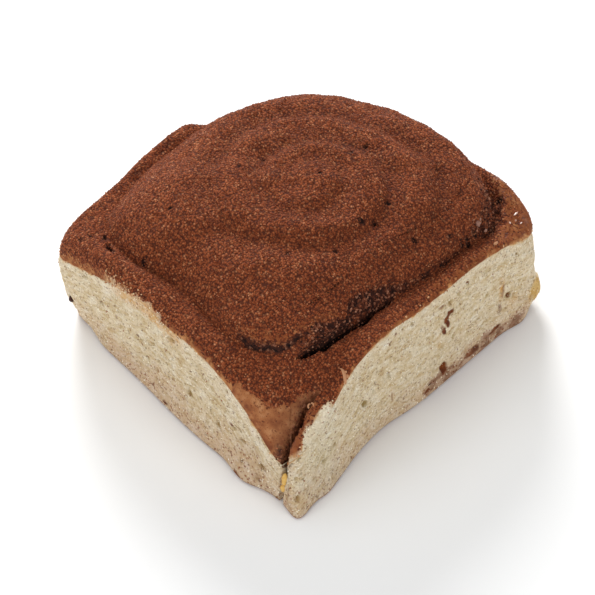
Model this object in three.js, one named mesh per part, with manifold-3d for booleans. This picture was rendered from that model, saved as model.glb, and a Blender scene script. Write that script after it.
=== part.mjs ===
// Square swirl bun, pulled from a tray of buns.
// Units are millimetres, +Z is up and the bun rests on the plane z = 0.
// A strip of dough is coiled up, so the top is a low dome with grooves between
// the turns. Three sides are torn and nearly straight, the fourth is baked round.
import * as THREE from "three";
import Module from "manifold-3d";

const wasm = await Module();
wasm.setup();

// ---------------- driving sizes ----------------
// Radii are measured from the hub of the coil, angles run counter-clockwise from +X.
const HUB = { x: 2, y: 2 };
// Where each wall stands at its foot and at the level of its upper edge.
const WALLS = {
  right: { foot: 45.2, rim: 42.6 },
  left: { foot: -46.6, rim: -46.2 },
  front: { foot: -46.6, rim: -46.0 },
  back: { foot: 47.6, rim: 50.2 },
};
const RIM_LEVEL = 36;
// A large number gives a square corner, 2 gives a round one: [at the edge, at the foot].
const CORNERS = { near: [18, 17.5], right: [7.4, 13.5], far: [2.05, 2.05], left: [13, 7.75] };
// How far the left wall steps in where the torn part ends and the crust begins.
const LEFT_STEP = { from: 180, to: 172, depth: 2.6 };
// Height of the upper edge along each torn wall, as [place on the wall, height].
const FRONT_EDGE = [[-47, 23], [-41, 25.7], [-33, 28.4], [-23, 32], [-9.5, 35.7], [0, 34.2],
  [9, 34.4], [16, 32.8], [24, 28.9], [31, 23.2], [36, 18], [41, 15], [45, 14.5]];
const RIGHT_EDGE = [[-47, 14.5], [-43, 18.5], [-38, 22], [-34, 25], [-30, 30], [-26, 34.5], [-19, 38],
  [-12, 39.4], [-3, 38], [8, 37.3], [19, 37.4], [31, 35.2], [44, 30]];
const LEFT_EDGE = [[-47, 23], [-39.5, 27.4], [-28, 31], [-17, 32.8], [-8, 34.2], [2, 34.9]];
// Level of the widest line on the baked side.
const BAKED_LEVEL = 26;

// The outer groove, every 15 degrees: radius and height of its floor.
const GROOVE_RADIUS = [33.9, 36, 40, 47, 47.2, 44.8, 43.2, 42.4, 41.8, 41, 40.4, 40.5,
  42.6, 44.8, 48.4, 52.2, 47, 40.4, 39.6, 42.4, 44.2, 43.2, 38, 34.6];
const GROOVE_LEVEL = [37.2, 36.6, 36, 34.4, 35, 36, 36, 36, 36, 36, 36, 36.2,
  36.3, 36, 35.1, 34, 35.4, 36.4, 36.6, 36.6, 36.2, 35.8, 36.8, 37.4];
// The outer turn beyond the groove: height of its crown and how square its shoulder is.
const CROWN_LEVEL = [39.2, 39, 38.6, 35.5, 40.1, 36.3, 37, 37, 37, 37, 37, 37.4,
  38, 37.6, 36, 33.6, 38.7, 38.2, 38, 37.4, 34.8, 32.4, 38.6, 40.2];
const SHOULDER = [2.6, 2.6, 2.4, 1.7, 1.9, 2, 2, 2, 2, 2, 2, 2.2,
  2.6, 2.6, 2.4, 2.2, 2.4, 2.6, 2.6, 2.4, 1.7, 1.4, 2.2, 2.6];
const GROOVE_HALF_WIDTH = 3.2;

// The coil inside the groove is a low dome with a rolled edge.
const DOME = { top: 52.2, power: 2.5 };
const COIL_EDGE = [41, 41, 41, 41.4, 42.5, 44.2, 43.7, 42.9, 43.4, 44.4, 45, 44.3,
  42.1, 38.4, 37.6, 36.8, 37.6, 38.4, 38.4, 38.8, 39.2, 39.6, 40.2, 40.8];
// Width of the rolled edge: wide and soft on the left, steep on the right.
const ROLL = [4.4, 5, 5, 6, 6, 6, 6, 6, 7, 7, 7.5, 8, 8.5, 8.5, 8.5, 8, 8, 7.5, 6, 4, 3, 2.8, 3, 3.6];
// The groove between the inner turns, as [degrees turned, radius, depth].
const SPIRAL = [[-60, 31, 0], [-42, 30.5, 0.5], [-20, 29.5, 0.8], [0, 28.4, 0.9], [15, 28.6, 1.2], [28, 31.2, 1.6],
  [42, 33.4, 1.9], [58, 32.8, 1.9], [75, 30.2, 1.9], [95, 27.8, 1.8], [115, 26.8, 1.8], [140, 26.2, 1.8],
  [170, 26.4, 1.7], [200, 26, 1.6], [230, 25.4, 1.5], [253, 23.9, 1.5], [266, 22.2, 1.5], [278, 20.6, 1.5],
  [292, 19.3, 1.5], [318, 18.7, 1.5], [345, 18.4, 1.6], [368, 19.6, 1.8], [398, 20.2, 1.9], [428, 19.5, 2],
  [445, 18, 2], [475, 16, 2], [500, 15, 1.9], [525, 14.6, 1.8], [560, 14, 1.5], [600, 12.4, 1.3],
  [660, 9.8, 1.2], [720, 8.6, 1.2], [790, 8.2, 1.3], [850, 8, 1.3], [900, 6.4, 1.1], [960, 4.4, 0.8],
  [1010, 3, 0]];
// Its inner side is steep and its outer side gentle.
const SPIRAL_WIDTHS = { inner: 1.9, outer: 4.0 };

// Small unevenness of the top and of the torn crumb.
const WAVES = { top: 0.3, crumb: 0.45 };
// Lumps and hollows of the walls: angle, its half width, level, its half height, depth.
const LUMPS = [
  { angle: 48, turn: 6.8, level: 6.5, height: 5, out: 2.6 },
  { angle: 46, turn: 5.7, level: 24, height: 14, out: 1.35 },
  { angle: 211, turn: 9, level: 36, height: 16, out: -1.7 },
  { angle: 186, turn: 7, level: 36, height: 16, out: 0.4 },
  { angle: 228, turn: 4, level: 15.5, height: 14, out: 1.85 },
  { angle: 282, turn: 26, level: 0, height: 12, out: 2.1 },
  { angle: 223, turn: 3.5, level: 9, height: 4, out: 1.1 },
  { angle: 298, turn: 5, level: 1, height: 5, out: 2.1 },
  { angle: 312.7, turn: 3, level: 0, height: 9, out: 4.5 },
  { angle: 319, turn: 3.6, level: 0, height: 5, out: 2.8 },
  { angle: 339, turn: 12, level: 0, height: 8, out: -1.65 },
  { angle: 231.5, turn: 4.5, level: 0, height: 6, out: -1.6 },
  { angle: 324, turn: 3.5, level: 1, height: 5, out: 0.9 },
  { angle: 40.5, turn: 3, level: 0, height: 4, out: 1.5 },
  { angle: 58, turn: 5, level: 33, height: 8, out: 0.4 },
];

// The seam between the outer turn and the coil, open at the top as a slit.
const SEAM = [[31.6, -30.8], [33.9, -25.2], [34.9, -18.8], [35.3, -12.6], [35.4, -5.6], [35.6, 1.6],
  [36.2, 9], [36.6, 17], [36.3, 24.5], [35.4, 32], [33.4, 40.4]];
const SLIT_WIDTH = 2.1;
const FILLING = { thickness: 1.4, gap: 0.35 };
// Top of the filling along the seam, and the level of the wall foot it runs out to.
const FILLING_TOP = [29.5, 30.5, 31, 31.4, 34.2, 35, 34.6, 34.4, 33.4, 32.2, 31.6];
const FILLING_FOOT = { level: 4.6, keel: 13 };
const FOOT_REACH = [0, 0, 0, 0, 0.35, 1, 1, 1, 1, 1, 0.5];

// The deep crack beside the tail end, as [x, y, bottom level, top width].
const CRACK = [[38.7, -31.6, 27.5, 1.0], [38.3, -36, 17, 1.8], [39.4, -40.5, 7, 2.0],
  [40.2, -45, -2, 2.0], [41.0, -50, -2, 1.8]];

// ---------------- mesh density ----------------
const AROUND = 136;
const INNER_RINGS = 13;
const EDGE_RINGS = [-7.5, -5.6, -4, -2.6, -1.3, 0];
const TURN_RINGS = [0.14, 0.3, 0.48, 0.66, 0.82, 0.93, 1];
const WALL_ROWS = [0.1, 0.28, 0.46, 0.64, 0.82];
const FOOT_ROUND = 1.3;

// ---------------- helpers ----------------
const rad = (deg) => (deg * Math.PI) / 180;

function smooth(lo, hi, x) {
  const t = Math.min(1, Math.max(0, (x - lo) / (hi - lo)));
  return t * t * (3 - 2 * t);
}

function hermite(a, b, ta, tb, t) {
  const t2 = t * t;
  const t3 = t2 * t;
  return a * (2 * t3 - 3 * t2 + 1) + ta * (t3 - 2 * t2 + t) + b * (3 * t2 - 2 * t3) + tb * (t3 - t2);
}

// A smooth closed curve through values given at equal angles.
function cyclic(values, deg) {
  const n = values.length;
  const u = ((((deg / 360) * n) % n) + n) % n;
  const i = Math.floor(u);
  const at = (k) => values[(k + n) % n];
  const ta = (at(i + 1) - at(i - 1)) / 2;
  const tb = (at(i + 2) - at(i)) / 2;
  return hermite(at(i), at(i + 1), ta, tb, u - i);
}

// A smooth curve through the rows of a table, looked up by their first number.
function along(table, u, column = 1) {
  const last = table.length - 1;
  if (u <= table[0][0]) return table[0][column];
  if (u >= table[last][0]) return table[last][column];
  let i = 0;
  while (table[i + 1][0] < u) i += 1;
  const slope = (k) => {
    const p = table[Math.max(0, k - 1)];
    const q = table[Math.min(last, k + 1)];
    return (q[column] - p[column]) / (q[0] - p[0]);
  };
  const span = table[i + 1][0] - table[i][0];
  const t = (u - table[i][0]) / span;
  return hermite(table[i][column], table[i + 1][column], slope(i) * span, slope(i + 1) * span, t);
}

// ---------------- the outline ----------------
function side(wall, z) {
  const up = Math.min(1, Math.max(0, z / RIM_LEVEL));
  return wall.foot + (wall.rim - wall.foot) * up;
}

// The baked side is widest at its middle and tucks in under itself.
function bakedSide(z) {
  const k = Math.min(1, Math.max(0, (BAKED_LEVEL - z) / BAKED_LEVEL));
  return WALLS.back.rim + (WALLS.back.foot - WALLS.back.rim) * k * k;
}

function outline(deg, z) {
  const c = Math.cos(rad(deg));
  const s = Math.sin(rad(deg));
  const step = LEFT_STEP.depth * (1 - smooth(LEFT_STEP.to, LEFT_STEP.from, deg));
  const left = HUB.x - side(WALLS.left, z) - (s > 0 ? step : 0);
  const a = c > 0 ? side(WALLS.right, z) - HUB.x : left;
  const b = s > 0 ? bakedSide(z) - HUB.y : HUB.y - side(WALLS.front, z);
  let corner = CORNERS.near;
  if (c > 0 && s > 0) corner = CORNERS.right;
  if (c <= 0 && s > 0) corner = CORNERS.far;
  if (c <= 0 && s <= 0) corner = CORNERS.left;
  const n = corner[0] + (corner[1] - corner[0]) * smooth(28, 2, z);
  let r = Math.pow(Math.pow(Math.abs(c) / a, n) + Math.pow(Math.abs(s) / b, n), -1 / n);
  for (const lump of LUMPS) {
    const turn = (deg - lump.angle) / lump.turn;
    const rise = (z - lump.level) / lump.height;
    r += lump.out * Math.exp(-turn * turn - rise * rise);
  }
  return r;
}

const CORNER_ANGLE = {
  right: (Math.atan2(48.2, 40.6) * 180) / Math.PI,
  left: 225,
  near: 360 - (Math.atan2(48, 40.6) * 180) / Math.PI,
};

function edgeLevel(deg) {
  const r = outline(deg, 33);
  const x = HUB.x + r * Math.cos(rad(deg));
  const y = HUB.y + r * Math.sin(rad(deg));
  if (deg >= CORNER_ANGLE.near || deg <= CORNER_ANGLE.right) return along(RIGHT_EDGE, y);
  if (deg >= CORNER_ANGLE.left) return along(FRONT_EDGE, x);
  if (deg >= LEFT_STEP.from) return along(LEFT_EDGE, y);
  const fromRight = 30 + (BAKED_LEVEL - 30) * smooth(CORNER_ANGLE.right, 68, deg);
  return fromRight + (34.8 - BAKED_LEVEL) * smooth(LEFT_STEP.to - 4, LEFT_STEP.from, deg);
}

// 1 on a torn wall, 0 on the baked side.
function torn(deg) {
  return 1 - smooth(50, 60, deg) * smooth(LEFT_STEP.from, LEFT_STEP.to, deg);
}

// ---------------- relief ----------------
function topWaves(x, y) {
  const a = Math.sin(x * 0.61 + 1.3) * Math.cos(y * 0.53 - 0.4);
  const b = Math.sin(x * 0.27 - y * 0.39 + 2.1);
  return WAVES.top * (0.6 * a + 0.7 * b);
}

function crumbWaves(u, z) {
  const layers = Math.sin(z * 0.55 + u * 0.12 + Math.sin(u * 0.21) * 1.5);
  const blobs = Math.sin(u * 0.74 + 0.5) * Math.cos(z * 0.47 + u * 0.2);
  return WAVES.crumb * (0.7 * layers + 0.6 * blobs);
}

function spiralDepth(deg, r) {
  let depth = 0;
  for (let turned = deg - 360; turned <= SPIRAL[SPIRAL.length - 1][0]; turned += 360) {
    if (turned < SPIRAL[0][0]) continue;
    const gap = r - along(SPIRAL, turned, 1);
    const q = gap / (gap < 0 ? SPIRAL_WIDTHS.inner : SPIRAL_WIDTHS.outer);
    depth += along(SPIRAL, turned, 2) * Math.exp(-q * q);
  }
  return depth;
}

// ---------------- the top surface ----------------
// Point on the coil, r from the hub along the angle deg.
function coilHeight(deg, r) {
  const edge = cyclic(GROOVE_RADIUS, deg);
  const t = Math.min(1, r / edge);
  const low = cyclic(COIL_EDGE, deg);
  const dome = low + (DOME.top - low) * (1 - Math.pow(t, DOME.power));
  const width = cyclic(ROLL, deg);
  const q = Math.min(1, Math.max(0, (r - edge + width) / width));
  const drop = (dome - cyclic(GROOVE_LEVEL, deg)) * (1 - Math.sqrt(1 - q * q * 0.985));
  const x = HUB.x + r * Math.cos(rad(deg));
  const y = HUB.y + r * Math.sin(rad(deg));
  return dome - drop - spiralDepth(deg, r) + topWaves(x, y) * (1 - q);
}

// Height of the outer turn, s = 0 at the groove and 1 at the upper edge of the wall.
function turnHeight(deg, s, width) {
  const rim = edgeLevel(deg);
  const crown = cyclic(CROWN_LEVEL, deg);
  const p = cyclic(SHOULDER, deg);
  const body = rim + Math.max(0.4, crown - rim) * Math.pow(1 - Math.pow(s, p), 1 / p);
  const near = (s * width) / GROOVE_HALF_WIDTH;
  const start = rim + Math.max(0.4, crown - rim);
  const blend = Math.exp(-near * near * 1.6);
  return body - (start - cyclic(GROOVE_LEVEL, deg) - groovePush(deg)) * blend;
}

function groovePush(deg) {
  const edge = cyclic(GROOVE_RADIUS, deg);
  return coilHeight(deg, edge) - cyclic(GROOVE_LEVEL, deg);
}

function point(deg, r, z) {
  return [HUB.x + r * Math.cos(rad(deg)), HUB.y + r * Math.sin(rad(deg)), z];
}

// ---------------- the body as one closed skin ----------------
function bunBody() {
  const rings = [];
  const angles = [];
  for (let i = 0; i < AROUND; i += 1) angles.push((360 * i) / AROUND);
  for (const target of [CORNER_ANGLE.right, LEFT_STEP.from, LEFT_STEP.to, CORNER_ANGLE.left, CORNER_ANGLE.near]) {
    let best = 0;
    angles.forEach((a, i) => {
      if (Math.abs(a - target) < Math.abs(angles[best] - target)) best = i;
    });
    angles[best] = target;
  }
  for (let k = 1; k <= INNER_RINGS; k += 1) {
    const u = k / INNER_RINGS;
    rings.push(angles.map((deg) => {
      const full = cyclic(GROOVE_RADIUS, deg) + EDGE_RINGS[0] - 1.6;
      const round = 33.5;
      const r = u * (round + (full - round) * u * u);
      return point(deg, r, coilHeight(deg, r));
    }));
  }
  for (const offset of EDGE_RINGS) {
    rings.push(angles.map((deg) => {
      const r = cyclic(GROOVE_RADIUS, deg) + offset;
      return point(deg, r, coilHeight(deg, r));
    }));
  }
  for (const s of TURN_RINGS) {
    rings.push(angles.map((deg) => {
      const from = cyclic(GROOVE_RADIUS, deg);
      const to = outline(deg, edgeLevel(deg));
      const r = from + (to - from) * s;
      return point(deg, r, turnHeight(deg, s, to - from));
    }));
  }
  for (const v of WALL_ROWS) {
    rings.push(angles.map((deg) => {
      const z = edgeLevel(deg) * (1 - v) + FOOT_ROUND * v;
      const r = outline(deg, z);
      const wave = torn(deg) * crumbWaves((deg * Math.PI * 50) / 180, z);
      return point(deg, r + wave, z);
    }));
  }
  rings.push(angles.map((deg) => point(deg, outline(deg, FOOT_ROUND), FOOT_ROUND)));
  rings.push(angles.map((deg) => point(deg, outline(deg, 0) - FOOT_ROUND, 0)));

  const flat = [];
  const tris = [];
  const hub = coilHeight(0, 0.01);
  flat.push(HUB.x, HUB.y, hub);
  rings.forEach((ring) => ring.forEach((p) => flat.push(p[0], p[1], p[2])));
  flat.push(HUB.x, HUB.y, 0);
  const count = angles.length;
  const at = (ring, i) => 1 + ring * count + (i % count);
  for (let i = 0; i < count; i += 1) tris.push(0, at(0, i), at(0, i + 1));
  const far = (a, b) => Math.hypot(flat[a * 3] - flat[b * 3], flat[a * 3 + 1] - flat[b * 3 + 1],
    flat[a * 3 + 2] - flat[b * 3 + 2]);
  for (let ring = 0; ring + 1 < rings.length; ring += 1) {
    for (let i = 0; i < count; i += 1) {
      const a = at(ring, i);
      const b = at(ring, i + 1);
      const c = at(ring + 1, i + 1);
      const d = at(ring + 1, i);
      if (far(a, c) <= far(b, d)) tris.push(a, d, c, a, c, b);
      else tris.push(a, d, b, b, d, c);
    }
  }
  const low = flat.length / 3 - 1;
  for (let i = 0; i < count; i += 1) tris.push(low, at(rings.length - 1, i + 1), at(rings.length - 1, i));
  return solid(flat, tris);
}

function solid(flat, tris) {
  return new wasm.Manifold(new wasm.Mesh({
    numProp: 3,
    vertProperties: new Float32Array(flat),
    triVerts: new Uint32Array(tris),
  }));
}

// ---------------- swept blades ----------------
// A closed body from equal loops of points, one loop for each station.
function loft(loops) {
  const n = loops[0].length;
  const flat = loops.flat(2);
  const tris = [];
  const at = (k, i) => k * n + (i % n);
  for (let k = 0; k + 1 < loops.length; k += 1) {
    for (let i = 0; i < n; i += 1) {
      tris.push(at(k, i), at(k, i + 1), at(k + 1, i + 1));
      tris.push(at(k, i), at(k + 1, i + 1), at(k + 1, i));
    }
  }
  const half = n / 2;
  const end = loops.length - 1;
  for (let i = 0; i + 1 < half; i += 1) {
    const j = n - 1 - i;
    tris.push(at(0, i), at(0, j), at(0, i + 1));
    tris.push(at(0, i + 1), at(0, j), at(0, j - 1));
    tris.push(at(end, i), at(end, i + 1), at(end, j));
    tris.push(at(end, i + 1), at(end, j - 1), at(end, j));
  }
  let body = solid(flat, tris);
  if (body.volume() < 0) {
    for (let i = 0; i < tris.length; i += 3) [tris[i], tris[i + 1]] = [tris[i + 1], tris[i]];
    body = solid(flat, tris);
  }
  return body;
}

// Points on the seam with the direction across it, at equal steps of the table.
function seamStations(steps) {
  const rows = SEAM.map((p, i) => [i, p[0], p[1], FILLING_TOP[i], FOOT_REACH[i]]);
  const list = [];
  for (let k = 0; k <= steps; k += 1) {
    const u = ((SEAM.length - 1) * k) / steps;
    const x = along(rows, u, 1);
    const y = along(rows, u, 2);
    const dx = along(rows, u + 0.05, 1) - along(rows, u - 0.05, 1);
    const dy = along(rows, u + 0.05, 2) - along(rows, u - 0.05, 2);
    const size = Math.hypot(dx, dy);
    list.push({ x, y, nx: dy / size, ny: -dx / size, top: along(rows, u, 3), reach: along(rows, u, 4) });
  }
  return list;
}

// The filling: a thin upright layer whose lower part runs out to the foot of the wall.
function seamLayer(grow, top) {
  const half = FILLING.thickness / 2 + grow;
  const stations = seamStations(26);
  const loops = stations.map((p, k) => {
    const wallX = WALLS.right.foot + 0.15 - p.x;
    const run = Math.max(0, (wallX / Math.max(0.2, p.nx) - 1.3) * p.reach);
    const reachOut = grow * 4;
    const keel = FILLING_FOOT.keel;
    const path = [];
    const upper = top === "open" ? 60 : p.top + (top === "grown" ? grow : 0);
    path.push([0, upper]);
    path.push([0, keel + 8]);
    path.push([0.12 * run, keel]);
    path.push([0.45 * run, FILLING_FOOT.level + 3.4]);
    const low = [run - 0.45 * run, -3.4 + 2 * (1 - p.reach)];
    const size = Math.hypot(low[0], low[1]);
    const k2 = (size + reachOut) / size;
    path.push([0.45 * run + low[0] * k2, FILLING_FOOT.level + 3.4 + low[1] * k2]);
    const shift = k === 0 ? -grow : k === stations.length - 1 ? grow : 0;
    const along3 = [-p.ny * shift, p.nx * shift];
    const loop = [];
    const put = (offset, z) => {
      loop.push([p.x + p.nx * offset + along3[0], p.y + p.ny * offset + along3[1], z]);
    };
    path.forEach(([offset, z], i) => {
      const a = path[Math.max(0, i - 1)];
      const b = path[Math.min(path.length - 1, i + 1)];
      const len = Math.hypot(b[0] - a[0], b[1] - a[1]);
      put(offset + (half * (a[1] - b[1])) / len, z + (half * (b[0] - a[0])) / len);
    });
    path.slice().reverse().forEach(([offset, z], i) => {
      const m = path.length - 1 - i;
      const a = path[Math.max(0, m - 1)];
      const b = path[Math.min(path.length - 1, m + 1)];
      const len = Math.hypot(b[0] - a[0], b[1] - a[1]);
      put(offset - (half * (a[1] - b[1])) / len, z - (half * (b[0] - a[0])) / len);
    });
    return loop;
  });
  return loft(loops);
}

// The open slit above the filling.
function slit() {
  const stations = seamStations(26).slice(0, 12);
  const loops = stations.map((p, k) => {
    const pinch = Math.sin((Math.PI * (k + 0.6)) / 12.2);
    const wide = (SLIT_WIDTH / 2) * Math.sqrt(Math.max(0.12, pinch));
    const narrow = FILLING.thickness / 2 + FILLING.gap;
    return [
      [p.x + p.nx * wide, p.y + p.ny * wide, 60],
      [p.x + p.nx * Math.min(wide, narrow), p.y + p.ny * Math.min(wide, narrow), p.top - 1],
      [p.x - p.nx * Math.min(wide, narrow), p.y - p.ny * Math.min(wide, narrow), p.top - 1],
      [p.x - p.nx * wide, p.y - p.ny * wide, 60],
    ];
  });
  return loft(loops);
}

// The crack beside the tail end, a wedge that opens upwards.
function crack() {
  const loops = CRACK.map(([x, y, bottom, width]) => [
    [x + width, y, 60],
    [x + width / 2, y, bottom + 16],
    [x + 0.25, y, bottom],
    [x - 0.25, y, bottom],
    [x - width / 2, y, bottom + 16],
    [x - width, y, 60],
  ]);
  return loft(loops);
}

// ---------------- assembly ----------------
function toMesh(body, name, colour, roughness, shift) {
  const raw = body.getMesh();
  const geometry = new THREE.BufferGeometry();
  const points = [];
  for (let i = 0; i < raw.vertProperties.length; i += raw.numProp) {
    points.push(raw.vertProperties[i] + shift[0], raw.vertProperties[i + 1] + shift[1]);
    points.push(raw.vertProperties[i + 2] + shift[2]);
  }
  geometry.setAttribute("position", new THREE.Float32BufferAttribute(points, 3));
  geometry.setIndex(Array.from(raw.triVerts));
  geometry.computeVertexNormals();
  const material = new THREE.MeshStandardMaterial({ color: colour, roughness, metalness: 0 });
  const mesh = new THREE.Mesh(geometry, material);
  mesh.name = name;
  return mesh;
}

const pocket = seamLayer(FILLING.gap, "grown");
const filling = seamLayer(0, "plain");
const bun = bunBody().subtract(pocket).subtract(slit()).subtract(crack());
const box = bun.boundingBox();
const centre = [-(box.min[0] + box.max[0]) / 2, -(box.min[1] + box.max[1]) / 2, 0];

const group = new THREE.Group();
group.name = "swirl_bun";
group.add(toMesh(bun, "bun", 0x9a6236, 0.9, centre));
group.add(toMesh(filling, "filling", 0x3a1c10, 0.8, centre));
export default group;
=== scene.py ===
# %% [markdown]
# # A square cocoa swirl bun
# The real bun is a strip of sweet dough, spread with cocoa filling, coiled up and
# baked in a tray against its neighbours. Pulled from the tray it keeps a baked,
# cocoa-dusted top and shows torn white crumb on its straight sides. The solid part
# already gives the true outline. Here the same named sizes make a much finer skin,
# so that each groove, pit and pore has room, and the skin then stands in for the
# plain solid.

import math

import bpy
import numpy as np
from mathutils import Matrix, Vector


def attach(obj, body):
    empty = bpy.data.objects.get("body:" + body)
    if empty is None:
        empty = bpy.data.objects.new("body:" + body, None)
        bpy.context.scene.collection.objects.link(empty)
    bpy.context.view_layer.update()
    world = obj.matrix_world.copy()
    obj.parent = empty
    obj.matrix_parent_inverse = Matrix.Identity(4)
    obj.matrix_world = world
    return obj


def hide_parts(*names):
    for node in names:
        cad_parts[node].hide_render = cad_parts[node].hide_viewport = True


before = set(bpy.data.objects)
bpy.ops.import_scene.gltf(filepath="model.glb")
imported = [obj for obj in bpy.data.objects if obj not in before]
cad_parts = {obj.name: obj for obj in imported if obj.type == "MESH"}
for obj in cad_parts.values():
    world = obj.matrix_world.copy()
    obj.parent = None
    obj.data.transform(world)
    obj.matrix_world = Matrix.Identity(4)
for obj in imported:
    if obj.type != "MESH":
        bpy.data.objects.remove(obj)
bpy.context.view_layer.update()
MM = 0.001
# The solid is centred on its box, so everything here is moved by the same amount.
SHIFT = np.array([-0.215, -0.276, 0.0])

# %% [markdown]
# ## The sizes of the coil
# The grooves on top could be sculpted, but a coil follows a rule: every point is an
# angle round the hub and a distance from it. A few short tables, one value each 15
# degrees, give the outer groove and the turn outside it, and smooth curves run
# through them. They are the solid's own values, so both skins agree. Only the slit and
# the crack have finer tables of their own, which keep within 1.3 mm of the solid's.

# %% Walls, corners and edges, in millimetres
HUB = (2.0, 2.0)
WALLS = {"right": (45.2, 42.6), "left": (-46.6, -46.2), "front": (-46.6, -46.0), "back": (47.6, 50.2)}
RIM_LEVEL = 36.0
BAKED_LEVEL = 26.0
CORNERS = {"near": (18, 17.5), "right": (7.4, 13.5), "far": (2.05, 2.05), "left": (13, 7.75)}
STEP_FROM, STEP_TO, STEP_DEPTH = 180.0, 172.0, 2.6
FRONT_EDGE = [[-47, 23], [-41, 25.7], [-33, 28.4], [-23, 32], [-9.5, 35.7], [0, 34.2],
              [9, 34.4], [16, 32.8], [24, 28.9], [31, 23.2], [36, 18], [41, 15], [45, 14.5]]
RIGHT_EDGE = [[-47, 14.5], [-43, 18.5], [-38, 22], [-34, 25], [-30, 30], [-26, 34.5], [-19, 38],
              [-12, 39.4], [-3, 38], [8, 37.3], [19, 37.4], [31, 35.2], [44, 30]]
LEFT_EDGE = [[-47, 23], [-39.5, 27.4], [-28, 31], [-17, 32.8], [-8, 34.2], [2, 34.9]]
LUMPS = [(48, 6.8, 6.5, 5, 2.6), (46, 5.7, 24, 14, 1.35), (211, 9, 36, 16, -1.7), (186, 7, 36, 16, 0.4),
         (228, 4, 15.5, 14, 1.85), (282, 26, 0, 12, 2.1), (223, 3.5, 9, 4, 1.1), (298, 5, 1, 5, 2.1),
         (312.7, 3, 0, 9, 4.5), (319, 3.6, 0, 5, 2.8), (339, 12, 0, 8, -1.65), (231.5, 4.5, 0, 6, -1.6),
         (324, 3.5, 1, 5, 0.9), (40.5, 3, 0, 4, 1.5), (58, 5, 33, 8, 0.4)]

# %% Grooves, crowns and the dome, every 15 degrees
GROOVE_RADIUS = [33.9, 36, 40, 47, 47.2, 44.8, 43.2, 42.4, 41.8, 41, 40.4, 40.5,
                 42.6, 44.8, 48.4, 52.2, 47, 40.4, 39.6, 42.4, 44.2, 43.2, 38, 34.6]
GROOVE_LEVEL = [37.2, 36.6, 36, 34.4, 35, 36, 36, 36, 36, 36, 36, 36.2,
                36.3, 36, 35.1, 34, 35.4, 36.4, 36.6, 36.6, 36.2, 35.8, 36.8, 37.4]
CROWN_LEVEL = [39.2, 39, 38.6, 35.5, 40.1, 36.3, 37, 37, 37, 37, 37, 37.4,
               38, 37.6, 36, 33.6, 38.7, 38.2, 38, 37.4, 34.8, 32.4, 38.6, 40.2]
SHOULDER = [2.6, 2.6, 2.4, 1.7, 1.9, 2, 2, 2, 2, 2, 2, 2.2,
            2.6, 2.6, 2.4, 2.2, 2.4, 2.6, 2.6, 2.4, 1.7, 1.4, 2.2, 2.6]
COIL_EDGE = [41, 41, 41, 41.4, 42.5, 44.2, 43.7, 42.9, 43.4, 44.4, 45, 44.3,
             42.1, 38.4, 37.6, 36.8, 37.6, 38.4, 38.4, 38.8, 39.2, 39.6, 40.2, 40.8]
ROLL = [4.4, 5, 5, 6, 6, 6, 6, 6, 7, 7, 7.5, 8, 8.5, 8.5, 8.5, 8, 8, 7.5, 6, 4, 3, 2.8, 3, 3.6]
DOME_TOP, DOME_POWER = 52.2, 2.5
# The groove between the turns: steep on its inner side, gentle on its outer side.
SPIRAL_WIDTHS = (1.9, 4.0)
SPIRAL = [[-60, 31, 0], [-42, 30.5, 0.5], [-20, 29.5, 0.8], [0, 28.4, 0.9], [15, 28.6, 1.2],
          [28, 31.2, 1.6], [42, 33.4, 1.9], [58, 32.8, 1.9], [75, 30.2, 1.9], [95, 27.8, 1.8],
          [115, 26.8, 1.8], [140, 26.2, 1.8], [170, 26.4, 1.7], [200, 26, 1.6], [230, 25.4, 1.5],
          [253, 23.9, 1.5], [266, 22.2, 1.5], [278, 20.6, 1.5], [292, 19.3, 1.5], [318, 18.7, 1.5],
          [345, 18.4, 1.6], [368, 19.6, 1.8], [398, 20.2, 1.9], [428, 19.5, 2], [445, 18, 2],
          [475, 16, 2], [500, 15, 1.9], [525, 14.6, 1.8], [560, 14, 1.5], [600, 12.4, 1.3],
          [660, 9.8, 1.2], [720, 8.6, 1.2], [790, 8.2, 1.3], [850, 8, 1.3], [900, 6.4, 1.1],
          [960, 4.4, 0.8], [1010, 3, 0]]
# The crack beside the tail end: y, x of the tail's edge, width of the slope into it, depth.
CRACK = np.array([[-51, 41.6, 0.7, 9], [-47, 41.0, 0.8, 9], [-45.8, 40.9, 1.6, 8],
                  [-44.8, 40.5, 2.1, 7.5], [-42.6, 40.2, 2.3, 6.5], [-39.4, 39.9, 2.6, 5.6],
                  [-36.6, 38.9, 2.5, 4.6], [-34, 38.5, 2.1, 3.2], [-31.6, 38.8, 1.4, 1.4],
                  [-29.6, 39.4, 0.8, 0]])
# Distance from the hub, by angle from the +X side: the seam with its slit, half the slit's
# width, and the inner edge of the dark hollow under the lip.
SEAM_RADIUS = [[-54, 45], [-49, 43.9], [-46.6, 43], [-44.4, 42.1], [-41.8, 41.1], [-39.5, 40.4],
               [-37.4, 39.7], [-35.3, 38.9], [-32.8, 38.1], [-30.3, 37.5], [-28, 36.9], [-26.1, 36.8],
               [-24.1, 36.6], [-22.6, 36.1], [-20.1, 35.4], [-17.7, 34.9], [-13, 34.6], [-9.8, 34.3],
               [-5.6, 33.2], [-1.7, 33.4], [2.8, 33.8], [6.9, 34.3], [11.3, 34.9], [15.7, 35.6],
               [19.8, 36.7], [23.9, 37.9], [28.2, 39.2], [32.8, 40.8], [36.1, 42], [40, 43.6], [48, 46]]
SLIT_HALF = [[-49.5, 0.1], [-48, 0.5], [-46.6, 0.85], [-44.4, 1], [-41.8, 1.15], [-39.5, 1.15],
             [-37.4, 1.1], [-35.3, 1], [-32.8, 0.8], [-30.3, 0.65], [-28, 0.6], [-26.1, 0.75],
             [-24.1, 0.95], [-22.6, 0.9], [-20.1, 0.6], [-17.7, 0.5], [-15.5, 0.45], [-13, 0.45],
             [-11, 0.3], [-9.3, 0.05]]
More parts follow.
